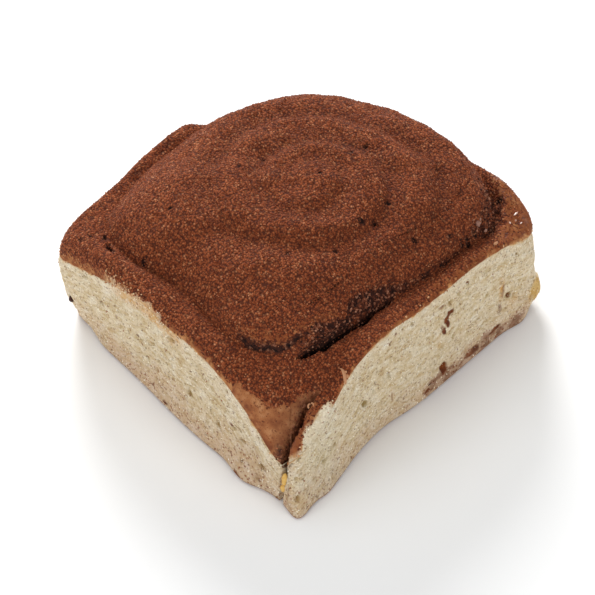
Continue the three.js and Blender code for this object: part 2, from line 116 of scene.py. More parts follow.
LIP_RADIUS = [[-72, 41.8], [-69.4, 42.2], [-67.4, 42.6], [-64.7, 43.1], [-61.8, 43.3], [-59.3, 43.2],
              [-56.6, 43.1], [-54.4, 43], [-52.2, 42.4], [-50.5, 41.7], [-48.6, 40.8], [-46.7, 40.1],
              [-44.3, 39], [-41.6, 38.2], [-39.1, 37.7], [-36.2, 37], [-33.7, 36.2], [-31.2, 35.8],
              [-29.9, 34.6], [-28.8, 33.2], [-27.1, 32.4], [-24.1, 32.1], [-20.3, 31.5], [-16.2, 31.5],
              [-11.9, 31.4], [-8.4, 31.7], [-4.8, 32], [-1.5, 32.4], [6, 33.4]]
# The torn edge of the tail lies this far inside its rim, by y.
TAIL_TEAR = [[-46, 0.3], [-43.1, 0.3], [-40.8, 1.6], [-39.2, 2.8], [-36, 2.8], [-33.4, 2.7], [-30.1, 1.1],
             [-26, 0.6], [-20, 0.3]]


# %% [markdown]
# ## Curves through the tables
# A straight line between table values would leave creases in the dough, so each
# value is passed smoothly with the slope of its neighbours (a Hermite curve). The
# functions take whole arrays, because the fine skin has nearly 100,000 points.

# %% Curve helpers
def smooth(lo, hi, x):
    t = np.clip((np.asarray(x, float) - lo) / (hi - lo), 0.0, 1.0)
    return t * t * (3.0 - 2.0 * t)


def between(a, b, c, d, x):
    """Rises from a to b and falls from c to d."""
    return smooth(a, b, x) * (1 - smooth(c, d, x))


def hump(x, middle, width):
    return np.exp(-(((x - middle) / width) ** 2))


def hermite(a, b, ta, tb, t):
    t2, t3 = t * t, t * t * t
    return a * (2 * t3 - 3 * t2 + 1) + ta * (t3 - 2 * t2 + t) + b * (3 * t2 - 2 * t3) + tb * (t3 - t2)


def cyclic(values, deg):
    v = np.asarray(values, float)
    n = len(v)
    u = (np.asarray(deg, float) / 360.0 * n) % n
    i = np.floor(u).astype(int)
    a, b = v[i % n], v[(i + 1) % n]
    return hermite(a, b, (b - v[(i - 1) % n]) / 2, (v[(i + 2) % n] - a) / 2, u - i)


def along(table, u, column=1):
    rows = np.asarray(table, float)
    x, v = rows[:, 0], rows[:, column]
    k = np.arange(len(x))
    before, after = np.maximum(k - 1, 0), np.minimum(k + 1, len(x) - 1)
    slope = (v[after] - v[before]) / (x[after] - x[before])
    u = np.clip(u, x[0], x[-1])
    i = np.clip(np.searchsorted(x, u, side="right") - 1, 0, len(x) - 2)
    span = x[i + 1] - x[i]
    return hermite(v[i], v[i + 1], slope[i] * span, slope[i + 1] * span, (u - x[i]) / span)


# %% The outline and the upper edge of the walls
def wall(name, z):
    foot, rim = WALLS[name]
    return foot + (rim - foot) * np.clip(z / RIM_LEVEL, 0, 1)


def outline(deg, z):
    c, s = np.cos(np.radians(deg)), np.sin(np.radians(deg))
    tuck = np.clip((BAKED_LEVEL - z) / BAKED_LEVEL, 0, 1) ** 2
    back = WALLS["back"][1] + (WALLS["back"][0] - WALLS["back"][1]) * tuck
    step = STEP_DEPTH * (1 - smooth(STEP_TO, STEP_FROM, deg))
    a = np.where(c > 0, wall("right", z) - HUB[0], HUB[0] - wall("left", z) - np.where(s > 0, step, 0))
    b = np.where(s > 0, back - HUB[1], HUB[1] - wall("front", z))
    low = smooth(28, 2, z)
    pick = {k: v[0] + (v[1] - v[0]) * low for k, v in CORNERS.items()}
    n = np.where(c > 0, np.where(s > 0, pick["right"], pick["near"]),
                 np.where(s > 0, pick["far"], pick["left"]))
    r = (np.abs(c / a) ** n + np.abs(s / b) ** n) ** (-1 / n)
    for angle, turn, level, height, out in LUMPS:
        r = r + out * np.exp(-(((deg - angle) / turn) ** 2) - ((z - level) / height) ** 2)
    return r


CORNER_RIGHT = math.degrees(math.atan2(48.2, 40.6))
CORNER_LEFT = 225.0
CORNER_NEAR = 360 - math.degrees(math.atan2(48, 40.6))


def edge_level(deg):
    r = outline(deg, np.full_like(deg, 33.0))
    x, y = HUB[0] + r * np.cos(np.radians(deg)), HUB[1] + r * np.sin(np.radians(deg))
    baked = 30 + (BAKED_LEVEL - 30) * smooth(CORNER_RIGHT, 68, deg)
    baked = baked + (34.8 - BAKED_LEVEL) * smooth(STEP_TO - 4, STEP_FROM, deg)
    level = np.where(deg >= STEP_FROM, along(LEFT_EDGE, y), baked)
    level = np.where(deg >= CORNER_LEFT, along(FRONT_EDGE, x), level)
    return np.where((deg >= CORNER_NEAR) | (deg <= CORNER_RIGHT), along(RIGHT_EDGE, y), level)


def torn(deg):
    return 1 - smooth(50, 60, deg) * smooth(STEP_FROM, STEP_TO, deg)


# %% [markdown]
# ## Smooth random relief
# Dough is never even. Noise on a lattice gives a random height that is the same
# each time the script runs: every lattice point gets a number from its own place,
# and the numbers are blended between. Sizes are in millimetres, so a 1.6 mm noise
# really makes bumps about that far apart.

# %% Lattice noise
def lattice(i, j, k, seed):
    h = (i * 73856093) ^ (j * 19349663) ^ (k * 83492791) ^ (seed * 2654435761)
    h = (h ^ (h >> 13)) * 1274126177
    h = (h ^ (h >> 16)) & 0xFFFFFF
    return h / float(0xFFFFFF) * 2 - 1


def noise(p, size, seed):
    q = p / size
    f = np.floor(q).astype(np.int64)
    t = q - f
    t = t * t * (3 - 2 * t)
    total = 0
    for dx in (0, 1):
        for dy in (0, 1):
            for dz in (0, 1):
                w = np.abs(1 - dx - t[..., 0]) * np.abs(1 - dy - t[..., 1]) * np.abs(1 - dz - t[..., 2])
                total = total + w * lattice(f[..., 0] + dx, f[..., 1] + dy, f[..., 2] + dz, seed)
    return total


def layered(p, size, seed, octaves=3):
    return sum(noise(p, size / 2 ** k, seed + k) * 0.55 ** k for k in range(octaves))


# %% Heights of the coil and of the outer turn
def spiral_depth(deg, r):
    depth = np.zeros_like(r)
    for lap in (-360, 0, 360, 720):
        turned = deg + lap
        inside = (turned >= SPIRAL[0][0]) & (turned <= SPIRAL[-1][0])
        gap = r - along(SPIRAL, turned, 1)
        gap = gap / np.where(gap < 0, *SPIRAL_WIDTHS)
        depth = depth + np.where(inside, along(SPIRAL, turned, 2) * np.exp(-gap * gap), 0)
    return depth


def coil_height(deg, r):
    edge = cyclic(GROOVE_RADIUS, deg)
    low = cyclic(COIL_EDGE, deg)
    dome = low + (DOME_TOP - low) * (1 - np.minimum(1, r / edge) ** DOME_POWER)
    width = cyclic(ROLL, deg)
    q = np.clip((r - edge + width) / width, 0, 1)
    drop = (dome - cyclic(GROOVE_LEVEL, deg)) * (1 - np.sqrt(1 - q * q * 0.985))
    x, y = HUB[0] + r * np.cos(np.radians(deg)), HUB[1] + r * np.sin(np.radians(deg))
    swell = 0.6 * np.sin(x * 0.61 + 1.3) * np.cos(y * 0.53 - 0.4)
    waves = 0.3 * (swell + 0.7 * np.sin(x * 0.27 - y * 0.39 + 2.1))
    return dome - drop - spiral_depth(deg, r) + waves * (1 - q)


def turn_height(deg, s, width):
    rim = edge_level(deg)
    rise = np.maximum(0.4, cyclic(CROWN_LEVEL, deg) - rim)
    p = cyclic(SHOULDER, deg)
    body = rim + rise * (1 - np.minimum(1, s) ** p) ** (1 / p)
    blend = np.exp(-1.6 * (s * width / 3.2) ** 2)
    return body - (rim + rise - coil_height(deg, cyclic(GROOVE_RADIUS, deg))) * blend


# %% [markdown]
# ## One closed skin
# The skin is a set of rings round the hub, from the middle of the dome out to the
# edge, down the walls and in under the foot. Rings alone could be even, but they
# are set close together where something sharp runs along them: the slit, the edge
# of the crust and the foot. In the same way the spokes crowd together at the crack
# beside the tail end.

# %% Spokes
AROUND = 600
fine = np.linspace(0, 360, 3601)
density = 1 + 1.7 * hump(fine, 308.5, 6) + 0.3 * hump(fine, 333, 20) - 0.35 * hump(fine, 115, 55)
reach = np.concatenate([[0], np.cumsum((density[1:] + density[:-1]) / 2)])
spokes = np.interp(np.arange(AROUND) / AROUND, reach / reach[-1], fine)
signed = np.where(spokes > 180, spokes - 360, spokes)
groove = cyclic(GROOVE_RADIUS, spokes)
rim_level = edge_level(spokes)
rim_radius = outline(spokes, rim_level)

# The seam, read off at each spoke as a distance from the groove.
seam_on = between(-53, -49, 46, 52, signed)
seam_gap = (along(SEAM_RADIUS, signed) - groove) * seam_on + 0.6 * (1 - seam_on)
print("spokes", AROUND, "finest step, degrees", round(float(np.diff(spokes).min()), 2))


# %% Rings of the coil and of the outer turn
def top_height(r):
    s = (r - groove) / (rim_radius - groove)
    return np.where(r <= groove, coil_height(spokes, np.minimum(r, groove)),
                    turn_height(spokes, np.clip(s, 0, 1), rim_radius - groove))


INNER_RINGS, OUTER_RINGS = 43, 20
ACROSS_SLIT = (-1.15, -0.85, -0.6, -0.38, -0.15, 0.15, 0.38, 0.6, 0.85, 1.15)
ring_radii = []
full = groove - 9.1
for k in range(1, INNER_RINGS + 1):
    u = k / INNER_RINGS
    ring_radii.append(u * (33.5 + (full - 33.5) * u * u))
ring_radii += [groove + seam_gap + offset for offset in np.linspace(-8.9, -1.5, 15)]
ring_radii += [groove + seam_gap + offset for offset in ACROSS_SLIT]
start = groove + seam_gap + ACROSS_SLIT[-1]
for s in np.linspace(0.05, 1, OUTER_RINGS) ** 0.93:
    ring_radii.append(start + (rim_radius - start) * s)
r_grid = np.stack(ring_radii)
top_z = np.stack([top_height(r) for r in ring_radii])
deg_grid = np.broadcast_to(spokes, r_grid.shape)
turn_grid = np.broadcast_to(signed, r_grid.shape)
x_grid = HUB[0] + r_grid * np.cos(np.radians(deg_grid))
y_grid = HUB[1] + r_grid * np.sin(np.radians(deg_grid))
plan = np.stack([x_grid, y_grid, x_grid * 0 + 7.0], -1)
top = np.stack([x_grid, y_grid, top_z], -1)
from_groove = r_grid - groove
edge_gap = rim_radius - r_grid
print("rings on top", len(ring_radii))

# %% [markdown]
# ## Slit, hollow and crack
# At the front the outer turn has pulled away from the coil. That leaves a soft lip,
# a dark hollow below it and a wavy black slit. They could be cut with a Boolean,
# but the clean grid would be lost. Instead the points that lie in them are pushed
# down, and noise keeps their edges ragged.

# %% The lip, the hollow and the slit
HOLLOW_DEPTH, LIP_DEPTH, SLIT_DEPTH, SEAM_DEPTH = 0.70, 1.0, 7.0, 0.7
# The open slit takes this share of the widths in its table.
SLIT_SHARE = 0.86
ragged = layered(plan, 1.5, 30, 2)
lip = along(LIP_RADIUS, turn_grid) - groove
seam_line = np.broadcast_to(seam_gap, r_grid.shape)
in_hollow = between(-51, -45, -6, 12, turn_grid)
hollow = in_hollow * smooth(-0.5, 0.5, from_groove - lip + 0.6 * ragged)
hollow *= 1 - smooth(0.1, 0.6, from_groove - seam_line)
lumpy = layered(plan, 1.15, 47, 2)
top[..., 2] -= hollow * (HOLLOW_DEPTH + 0.40 * lumpy)

lip_line = between(-72, -66, -50, -45, turn_grid) * hump(from_groove - lip, 0.35, 0.55)
top[..., 2] -= LIP_DEPTH * lip_line

slit_on = between(-50, -48.5, -10.5, -9, turn_grid)
slit_half = SLIT_SHARE * along(SLIT_HALF, turn_grid) + 0.10 * noise(plan, 1.6, 5)
slit = slit_on * (1 - smooth(slit_half - 0.1, slit_half + 0.16, np.abs(from_groove - seam_line)))
top[..., 2] -= slit * SLIT_DEPTH
thin_seam = between(-8, -2, 33, 37, turn_grid) * hump(from_groove, seam_line, 0.42)
thin_seam *= smooth(-0.45, 0.35, layered(plan, 1.6, 26, 2))
top[..., 2] -= SEAM_DEPTH * thin_seam
print("depth of the slit, mm", round(float(slit.max() * SLIT_DEPTH), 1))

# %% Pits and the broken corner
PITS = [(-28, -40.1, 1.3, 1.7), (-29.6, -39, 0.9, 1.0), (-26.4, -40.6, 1.0, 0.9),
        (-32.3, -38.2, 0.8, 0.9), (-37.1, -42.3, 0.7, 0.8), (-35.6, -39.6, 0.8, 0.7),
        (-17.2, -37.7, 0.9, 0.7), (-20, -26, 0.7, 0.7), (-22.8, -3.2, 0.7, 0.7), (-12.7, 0, 0.6, 0.6),
        (-15, -6.3, 0.6, 0.6), (13.3, -17, 0.7, 0.7), (2.3, 22.1, 0.9, 0.9), (2.3, 16.5, 0.6, 0.6),
        (19, 30.9, 0.7, 0.9), (2.5, 5.1, 0.6, 0.5), (21, 5.3, 1.1, 1.4), (19, 2.6, 1.0, 0.8),
        (19, 12.1, 0.8, 0.8), (20.7, -7.8, 0.8, 0.8), (29.9, 10.5, 0.7, 0.7), (34, 19.5, 0.6, 0.7),
        (36.0, 22.2, 0.7, 1.1), (36.2, 24.4, 0.8, 1.2), (35.8, 27.2, 0.8, 1.2), (36.4, 33.4, 0.9, 1.2),
        (35.4, 35.2, 0.7, 0.9), (31.9, 42.0, 1.0, 1.0)]
pit = np.zeros_like(r_grid)
for x, y, radius, depth in PITS:
    d = np.hypot(x_grid - x, y_grid - y) / (radius * (1 + 0.5 * ragged))
    hole = np.clip(1 - d * d, 0, 1)
    top[..., 2] -= depth * hole
    pit = np.maximum(pit, smooth(0.05, 0.6, hole))

corner_gap = between(36, 40, 55, 58, turn_grid) * between(-3.6, -2.2, 1.2, 2.8, from_groove + 0.8 * ragged)
top[..., 2] -= corner_gap * (0.9 + 0.75 * layered(plan, 2.2, 52, 2))

# %% Relief of the dusted top
grainy = 0.30 * layered(plan, 7.0, 39, 2) + 0.13 * layered(plan, 2.4, 40) + 0.07 * layered(plan, 1.0, 44, 1)
inward = smooth(0.0, 3.0, edge_gap)
top[..., 2] += grainy * (0.3 + 0.7 * inward) * (1 - 0.7 * slit)


# %% The crack beside the tail end
CRACK_REACH = 3.6


def crack_side(points):
    """Distance left of the tail's edge, the slope's width there and the crack's depth."""
    y = points[..., 1]
    edge = along(CRACK, y, 1) + 0.16 * noise(points, 1.6, 61)
    return edge - points[..., 0], along(CRACK, y, 2), along(CRACK, y, 3)


def in_crack(aside):
    return 1 - smooth(0.3, 0.75, np.abs(aside - 0.05))


left_of, slope_width, crack_depth = crack_side(top)
crack_on = smooth(-29.8, -32.5, y_grid) * (edge_gap < 26)
climb = np.clip(left_of / slope_width, 0, 1)
into = smooth(-0.55, 0.0, left_of) * (1 - climb) ** 1.5
top[..., 2] -= crack_on * crack_depth * 0.62 * into
narrow = smooth(-0.5, -0.1, left_of) * (1 - smooth(0.25, 0.6, left_of))
top[..., 2] -= crack_on * crack_depth * 0.38 * narrow
# The tail's own edge is rolled over, so it stands a little proud.
top[..., 2] += 0.35 * crack_on * hump(left_of, -1.5, 0.9)

# %% [markdown]
# ## Torn crumb
# Bread that is pulled apart shows soft fibres and small holes, larger towards the
# middle of the bun. Each hole is a shallow bowl pushed into the wall at a random
# place. The random ones are 0.2 to 0.8 mm in radius. The larger ones, of up to
# 1.5 mm, stand where the bun has them.

# %% The walls
WALL_ROWS = 71
wall_rows = []
for k in range(1, WALL_ROWS + 1):
    v = (k / WALL_ROWS) ** 1.08
    z = rim_level * (1 - v) + 1.2 * v
    wall_rows.append((outline(spokes, z), z))
wall_r = np.stack([row[0] for row in wall_rows])
wall_z = np.stack([row[1] for row in wall_rows])
wall_deg = np.broadcast_to(spokes, wall_z.shape)
wall_turn = np.broadcast_to(signed, wall_z.shape)
is_torn = torn(wall_deg)
below = rim_level - wall_z
side = np.stack([HUB[0] + wall_r * np.cos(np.radians(wall_deg)),
                 HUB[1] + wall_r * np.sin(np.radians(wall_deg)), wall_z], -1)
step_round = np.roll(side, -1, axis=1) - np.roll(side, 1, axis=1)
outward = np.stack([step_round[..., 1], -step_round[..., 0], np.zeros_like(wall_z)], -1)
outward /= np.linalg.norm(outward, axis=-1, keepdims=True)
flat_side = side.copy()

# %% Holes and fibres in the crumb
RANDOM_HOLES = 340
rng = np.random.default_rng(7)
hole_mask = np.zeros_like(wall_z)
push = np.zeros_like(wall_z)
HOLES = [(1.4, -46.1, 29.9, 1.1), (7.7, -46.6, 13.7, 1.1), (18.3, -46.9, 11.1, 1.0),
         (27.1, -46.7, 12.4, 0.9), (34, -46.9, 9.2, 1.3), (27.6, -48.1, 5.5, 0.8), (-4.1, -46.6, 16, 0.8),
         (16.1, -46.3, 23.3, 0.6), (23.7, -46.7, 15, 0.8), (-11, -46.3, 18.6, 0.7),
         (20.7, -46.4, 19.5, 0.6), (42.6, -11.1, 34, 0.7), (42.7, -3, 34.6, 0.8), (43.1, 17.9, 32.2, 0.7),
         (42.9, 14.6, 30.8, 0.6), (43.9, -20.3, 18.7, 1.0), (43.9, 34.4, 14.4, 1.2),
         (44.2, -31.5, 13.2, 0.8), (44.7, -35.5, 10.3, 0.8), (45.8, -46, 5.7, 1.0), (44.8, 8.8, 7.6, 1.5),
         (44.2, 2.5, 3.4, 0.9), (44.3, -15, 24, 0.7), (43.6, 25, 22, 0.7)]
spots = [(np.array(h[:3]), h[3], 1.0) for h in HOLES]
for _ in range(RANDOM_HOLES):
    row, col = int(rng.uniform(3, WALL_ROWS - 1)), int(rng.uniform(0, AROUND))
    if is_torn[row, col] > 0.5:
        spots.append((flat_side[row, col], rng.uniform(0.3, 0.85) ** 1.2, rng.uniform(0.3, 1.0)))
for centre, radius, strength in spots:
    d = flat_side - centre
    d[..., 2] /= rng.uniform(0.75, 1.4)
    bowl = np.clip(1 - (np.linalg.norm(d, axis=-1) / radius) ** 2, 0, 1)
    push -= radius * 0.8 * bowl * strength
    hole_mask = np.maximum(hole_mask, smooth(0.0, 0.6, bowl) * strength * min(1.0, 0.1 + radius * 0.9))
push *= smooth(0.8, 2.0, below)

tilted = side * np.array([0.6, 0.6, 0.36]) + side[..., [1, 2, 0]] * 0.12
crumb_relief = 0.24 * layered(tilted, 0.95, 71, 2) + 0.20 * layered(side, 2.6, 75, 2)
crumb_relief += 0.34 * layered(side, 7.0, 80, 2)
start = smooth(0.1, 1.4, below) * smooth(0, 1.4, wall_z - 0.9)
push += is_torn * start * (crumb_relief - 0.12)
push += (1 - is_torn) * (0.18 * layered(side, 5.0, 90, 2) + 0.05 * noise(side, 1.3, 93))
side += outward * push[..., None]

# %% The crack runs on down the front wall
left_low, _, _ = crack_side(side)
wall_crack = in_crack(left_low) * smooth(-43, -44.6, side[..., 1]) * (wall_turn < 0)
side[..., 1] += CRACK_REACH * wall_crack
rim_crack = in_crack(left_of) * smooth(-43.5, -45, y_grid) * crack_on
top[..., 1] += CRACK_REACH * rim_crack
print("holes in the crumb", len(spots))

# %% [markdown]
# ## Where each finish lies
# The skin is one piece of dough with several finishes, so each point carries how
# much cocoa, bare crust, filling stain, painted shade and shine it has. Painting these
# by hand would not repeat, so they come from where the point is: above or below the
# torn edge, inside a groove, or in one of the few marked patches.

# %% Finish of the top
on_tail = crack_on * smooth(0.1, -0.3, left_of)
dusted_rim = smooth(0.0, 0.7, edge_gap + 0.45 * ragged)
cocoa_top = np.where(torn(deg_grid) > 0.5, dusted_rim, 1.0)
PATCH_EDGE = [[-76, 62], [-70, 55], [-64.9, 51.6], [-62.4, 52.4], [-59.6, 52.8], [-56.9, 53.2],
              [-54.2, 53.1], [-51.2, 52.2], [-49.6, 51.6], [-47.9, 50.6], [-45.1, 49.6], [-41, 49]]
patch_from = along(PATCH_EDGE, turn_grid)
bare = smooth(-0.6, 0.8, r_grid - patch_from + 0.5 * ragged)
bare_end = np.where(turn_grid < -48, bare, bare * (left_of > 0) * smooth(-27, -31, y_grid))
bare_end *= smooth(-74, -70, turn_grid) * (turn_grid < -38)
cocoa_top = cocoa_top * (1 - 0.95 * bare_end)
tear = along(TAIL_TEAR, y_grid)
tail_zone = smooth(-26, -30, y_grid) * on_tail
crumb_top = tail_zone * smooth(0.35, -0.35, edge_gap - tear + 0.5 * ragged)
tail_crust = tail_zone * smooth(-31, -36, y_grid) * (1 - crumb_top)
right_crust = between(36, 41, 62, 72, turn_grid) * smooth(2.2, 3.8, from_groove + ragged)
rim_crust = between(-4, 6, 60, 70, turn_grid) * smooth(3.4, 1.2, edge_gap + 1.2 * ragged)
# On the left the crust has peeled off along the edge and shows pale crumb.
peel = between(-25, -20, -3, 3, x_grid) * (y_grid < -30) * smooth(0.7, 0.1, edge_gap + 0.9 * ragged)
crumb_top = np.maximum(crumb_top, 0.6 * peel)
cocoa_top = cocoa_top * (1 - 0.60 * tail_crust) * (1 - 0.60 * right_crust)
cocoa_top = cocoa_top * (1 - 0.52 * rim_crust) * (1 - crumb_top)
golden = 0.8 * (1 - crumb_top) * smooth(1.0, 0.1, edge_gap - tear * tail_zone + 0.6 * ragged)
orange_top = np.maximum(0.85 * tail_crust, np.maximum(0.7 * right_crust, 0.75 * rim_crust))
orange_top = np.clip(orange_top + golden, 0, 1)

from_corner = np.hypot(x_grid - 39, (y_grid + 45.4) * 1.4)
corner_dust = (1 - smooth(0.2, 2.4, from_corner + 0.5 * ragged)) * (left_of > -0.1)
# The dark mask is partly real filling, in the hollow, the corner gap and the granular patch by the crack, and
# partly painted shade. Here it is painted shade in the pits and the slit.
dark_top = np.maximum(pit, slit)
under_lip = smooth(2.8, 0.8, from_groove - lip + 0.8 * ragged)
near_slit = smooth(-1.6, -0.5, from_groove - seam_line + 0.5 * ragged)
whole = smooth(-43, -36, turn_grid) * (1 - 0.5 * smooth(-8, 4, turn_grid))
# The hollow holds dark filling. Under the lip and by the slit it is darker still, which is painted shade.
hollow_dark = hollow * np.maximum(0.9 * whole, 0.9 * np.maximum(under_lip, near_slit)) * (0.84 + 0.30 * lumpy)
hollow_dark *= 1 - 0.75 * hump(turn_grid, -27.8, 2.6) * hump(r_grid, 35.9, 0.8)
dark_top = np.maximum(dark_top, hollow_dark)
# Painted shadow: the line under the lip is darkened.
dark_top = np.maximum(dark_top, 0.9 * lip_line)
# Painted shade: the slit, the line under the lip, the deepest pits and the crack are made near black.
deep_shade_top = np.maximum(np.maximum(slit, 0.55 * lip_line), 0.5 * smooth(0.3, 1.0, pit))
# Painted shade along the thin seam on the right.
dark_top = np.maximum(dark_top, 0.9 * thin_seam)
dark_top = np.maximum(dark_top, corner_gap * (0.42 + 0.3 * layered(plan, 1.5, 54, 2)))
# The slope into the crack darkens towards it: partly granular filling, partly painted shade.
valley = crack_on * smooth(1.15, 0.1, left_of / slope_width + 0.15 * ragged) * smooth(-0.5, -0.1, left_of)
dark_top = np.maximum(dark_top, 0.45 * valley)
deep_shade_top = np.maximum(deep_shade_top, 0.45 * crack_on * narrow * smooth(0.4, 0.9, crack_depth / 4))
dark_top = np.maximum(dark_top, 0.55 * corner_dust)
# Painted shade: the front piece darkens towards the crack. It is carried in the stain mask.
shade_top = crack_on * smooth(3.2, 0.6, left_of / slope_width) * (left_of > 0)
# Along the lip the cocoa thins to smooth orange crust: partly the crust's own colour, partly a painted
# highlight on the lip.
lip_crust_highlight = between(-72, -64, -36, -30, turn_grid) * hump(from_groove - lip, -0.9, 0.8)
lip_crust_highlight *= smooth(-0.5, 0.3, layered(plan, 3, 36, 2) + 0.3)
cocoa_top = cocoa_top * (1 - 0.55 * lip_crust_highlight)
orange_top = np.maximum(orange_top, lip_crust_highlight)
granules_top = np.clip(hollow * (1 - slit) + 0.9 * corner_gap + 0.5 * corner_dust, 0, 1)
dust_top = np.clip(cocoa_top - 1.3 * np.maximum(hollow_dark, np.maximum(slit, lip_line)), 0, 1)
# The very edge of the torn crust is pale, in a thin broken line.
pale_top = torn(deg_grid) * smooth(0.5, 0.0, edge_gap + 0.5 * ragged)
pale_top *= smooth(-0.5, 0.3, layered(plan, 2.5, 62, 2))
# Painted shade: the coil's grooves and the outer groove are darkened, as shade falls in them.
groove_shade_top = np.where(from_groove < 0, np.clip(spiral_depth(deg_grid, r_grid) / 1.9, 0, 1), 0)
groove_shade_top = np.maximum(groove_shade_top, 0.45 * hump(from_groove, -0.4, 1.5))
sugared = right_crust * smooth(0.1, 0.5, layered(plan, 2.2, 35, 2))
shine_top = np.clip(sugared + 0.3 * bare_end + 0.35 * tail_crust, 0, 1)

# %% Finish of the walls
wall_ragged = layered(flat_side, 1.5, 31, 2)
dusted = smooth(15, 31, wall_z + 4 * layered(flat_side, 4, 33, 2))
# The border between torn crumb and baked crust is ragged, and toasted along the line.
pulled = smooth(0.35, 0.65, is_torn + 0.3 * layered(flat_side, 3.0, 64, 3))
cocoa_side = (1 - pulled) * dusted
crumb_side = pulled * smooth(0.0, 0.5, below + 0.5 * wall_ragged)
golden_amount = 0.55 + 0.45 * smooth(-0.3, 0.4, layered(flat_side, 6, 34, 2))
orange_side = is_torn * (1 - smooth(0.1, 1.3, below + 0.8 * wall_ragged)) * golden_amount
front_wall = (wall_turn > -119) * (wall_turn < -49)
right_wall = (wall_turn > -46) * (wall_turn < 48)
pale_side = is_torn * smooth(0.6, 0.1, below + 0.5 * wall_ragged)
pale_side *= smooth(-0.5, 0.3, layered(flat_side, 2.5, 62, 2))
foot_stain = smooth(16, 3, wall_z + 4 * layered(flat_side, 5, 37, 2)) * is_torn
peeled = between(-26, -16, 1, 9, side[..., 0]) * front_wall
orange_side = np.maximum(orange_side, 0.9 * peeled * smooth(7.5, 2.0, below + 1.5 * wall_ragged))
# Orange tints on the right wall: y, z, half width, half height and force.
TINTS = [(31.5, 19, 1.1, 5, 0.9), (6.8, 20, 0.8, 4, 0.7), (-10.5, 13, 0.8, 3, 0.5), (36, 11, 2.5, 3, 0.6)]
for y, z, ry, rz, force in TINTS:
    tinted = hump(side[..., 1], y, ry) * hump(wall_z, z, rz) * np.exp(0.4 * wall_ragged)
    orange_side = np.maximum(orange_side, force * right_wall * tinted)
orange_side = np.maximum(orange_side, 0.7 * hump(is_torn, 0.6, 0.3))
# Paler cream below the rim: partly the crumb's own tone, partly painted light that makes the front wall
# lighter than the right wall.
cream_side = is_torn * smooth(0.2, 1.4, below) * np.where(front_wall, 1, 0.5)
cream_side *= smooth(6.5, 3.0, below + 1.5 * wall_ragged)
blotch = layered(flat_side, 2.6, 38, 2)
band = right_wall * between(-3, 6, 38, 43, side[..., 1])
band = band * smooth(7.2 + 1.6 * blotch, 4.2 + 1.6 * blotch, wall_z)
band_dark = smooth(-0.25, 0.35, blotch + 0.6 * wall_ragged)
# Smears of filling on the right wall: x, y, z, half width, half height and force.
RIGHT_SMEARS = [(43, 8.2, 31.4, 1.3, 0.5, 0.6), (43.1, 11.3, 26.9, 1.6, 0.9, 1.0),
                (43.2, 9.7, 25.6, 0.8, 1.3, 1.0), (43.6, 10.2, 23.4, 0.6, 1.2, 0.9),
                (43.7, 8.7, 22.2, 0.7, 1.0, 0.9), (43.7, 8.0, 23.6, 0.5, 1.0, 0.6),
                (44.8, 9.0, 6.6, 1.0, 2.4, 1.0), (44.2, 2.5, 3.3, 1.3, 0.7, 1.0),
                (44.1, -10.5, 12.6, 0.5, 2.6, 0.45), (44.4, -15.2, 9.3, 0.5, 1.4, 0.35),
                (43.9, 32, 18, 0.8, 3.0, 0.45), (43.9, 31, 12, 0.9, 1.8, 0.5),
                (43.9, 34.4, 14.4, 0.7, 1.0, 0.75), (43.9, 20.5, 4.0, 3.0, 1.2, 0.75),
                (44.8, 29.2, 5.4, 2.6, 0.9, 0.8), (42.6, -11.1, 34.0, 0.35, 0.7, 0.8),
                (43.1, 17.9, 32.4, 0.5, 0.5, 0.8), (42.6, -9, 35.8, 0.5, 0.4, 0.7),
                (44.5, -41.7, 3.0, 2.0, 1.2, 0.4)]
# And on the front wall: x, z, half width, half height and force.
FRONT_SMEARS = [(27.6, 1.9, 1.7, 1.1, 0.75), (-28.9, 8.5, 0.6, 0.6, 0.5), (-6.6, 4.2, 0.9, 0.7, 0.6),
                (-1.2, 2.4, 0.9, 0.7, 0.8), (11.6, 15.8, 1.1, 0.6, 0.4), (22.9, 15.5, 0.6, 0.6, 0.8),
                (25.5, 16, 0.4, 0.5, 0.8), (4, 33, 0.5, 0.5, 0.7), (33.4, 4.5, 1.9, 1.4, 0.3),
                (-2, 33.6, 1.5, 0.8, 0.5)]
smear = np.zeros_like(wall_z)
for x, y, z, ry, rz, force in RIGHT_SMEARS:
    d = ((side[..., 1] - y) / ry) ** 2 + ((wall_z - z) / rz) ** 2 + ((side[..., 0] - x) / 4) ** 2
    smear = np.maximum(smear, force * smooth(1.7, 0.4, d + 0.7 * wall_ragged))
for x, z, rx, rz, force in FRONT_SMEARS:
    d = ((side[..., 0] - x) / rx) ** 2 + ((wall_z - z) / rz) ** 2 + ((side[..., 1] + 47) / 4) ** 2
    smear = np.maximum(smear, force * smooth(1.7, 0.4, d + 0.7 * wall_ragged))
# Painted shade: the crack down the front wall is dark above the custard.
crack_shade = wall_crack * smooth(11, 13.5, wall_z)
wall_tear = along(TAIL_TEAR, side[..., 1]) * (wall_turn < 0) * (wall_turn > -51)
orange_side *= 1 - smooth(0.8, 1.8, wall_tear)
crumb_side = np.maximum(crumb_side, smooth(0.8, 1.8, wall_tear))
deep_shade_side = 0.9 * crack_shade
loose_top = between(-25, -22, -12, -8, x_grid) * (y_grid < -30) * smooth(3.2, 0.8, edge_gap)
loose_top = np.maximum(loose_top, 0.10 * smooth(1.4, 0.4, edge_gap) * torn(deg_grid))
loose_side = between(-25, -22, -12, -8, side[..., 0]) * front_wall * smooth(1.8, 0.5, below)
loose_side = np.maximum(loose_side, 0.10 * is_torn * smooth(1.2, 0.3, below))
smudge_side = np.maximum(0.95 * smear, band * (0.30 + 0.26 * band_dark))
stain_side = np.clip(foot_stain * np.where(front_wall, 0.85, 0.5) + 1.0 * band, 0, 1)
custard_side = hump(wall_deg, 46.0, 3.6) * hump(wall_z, 7.6, 4.4)
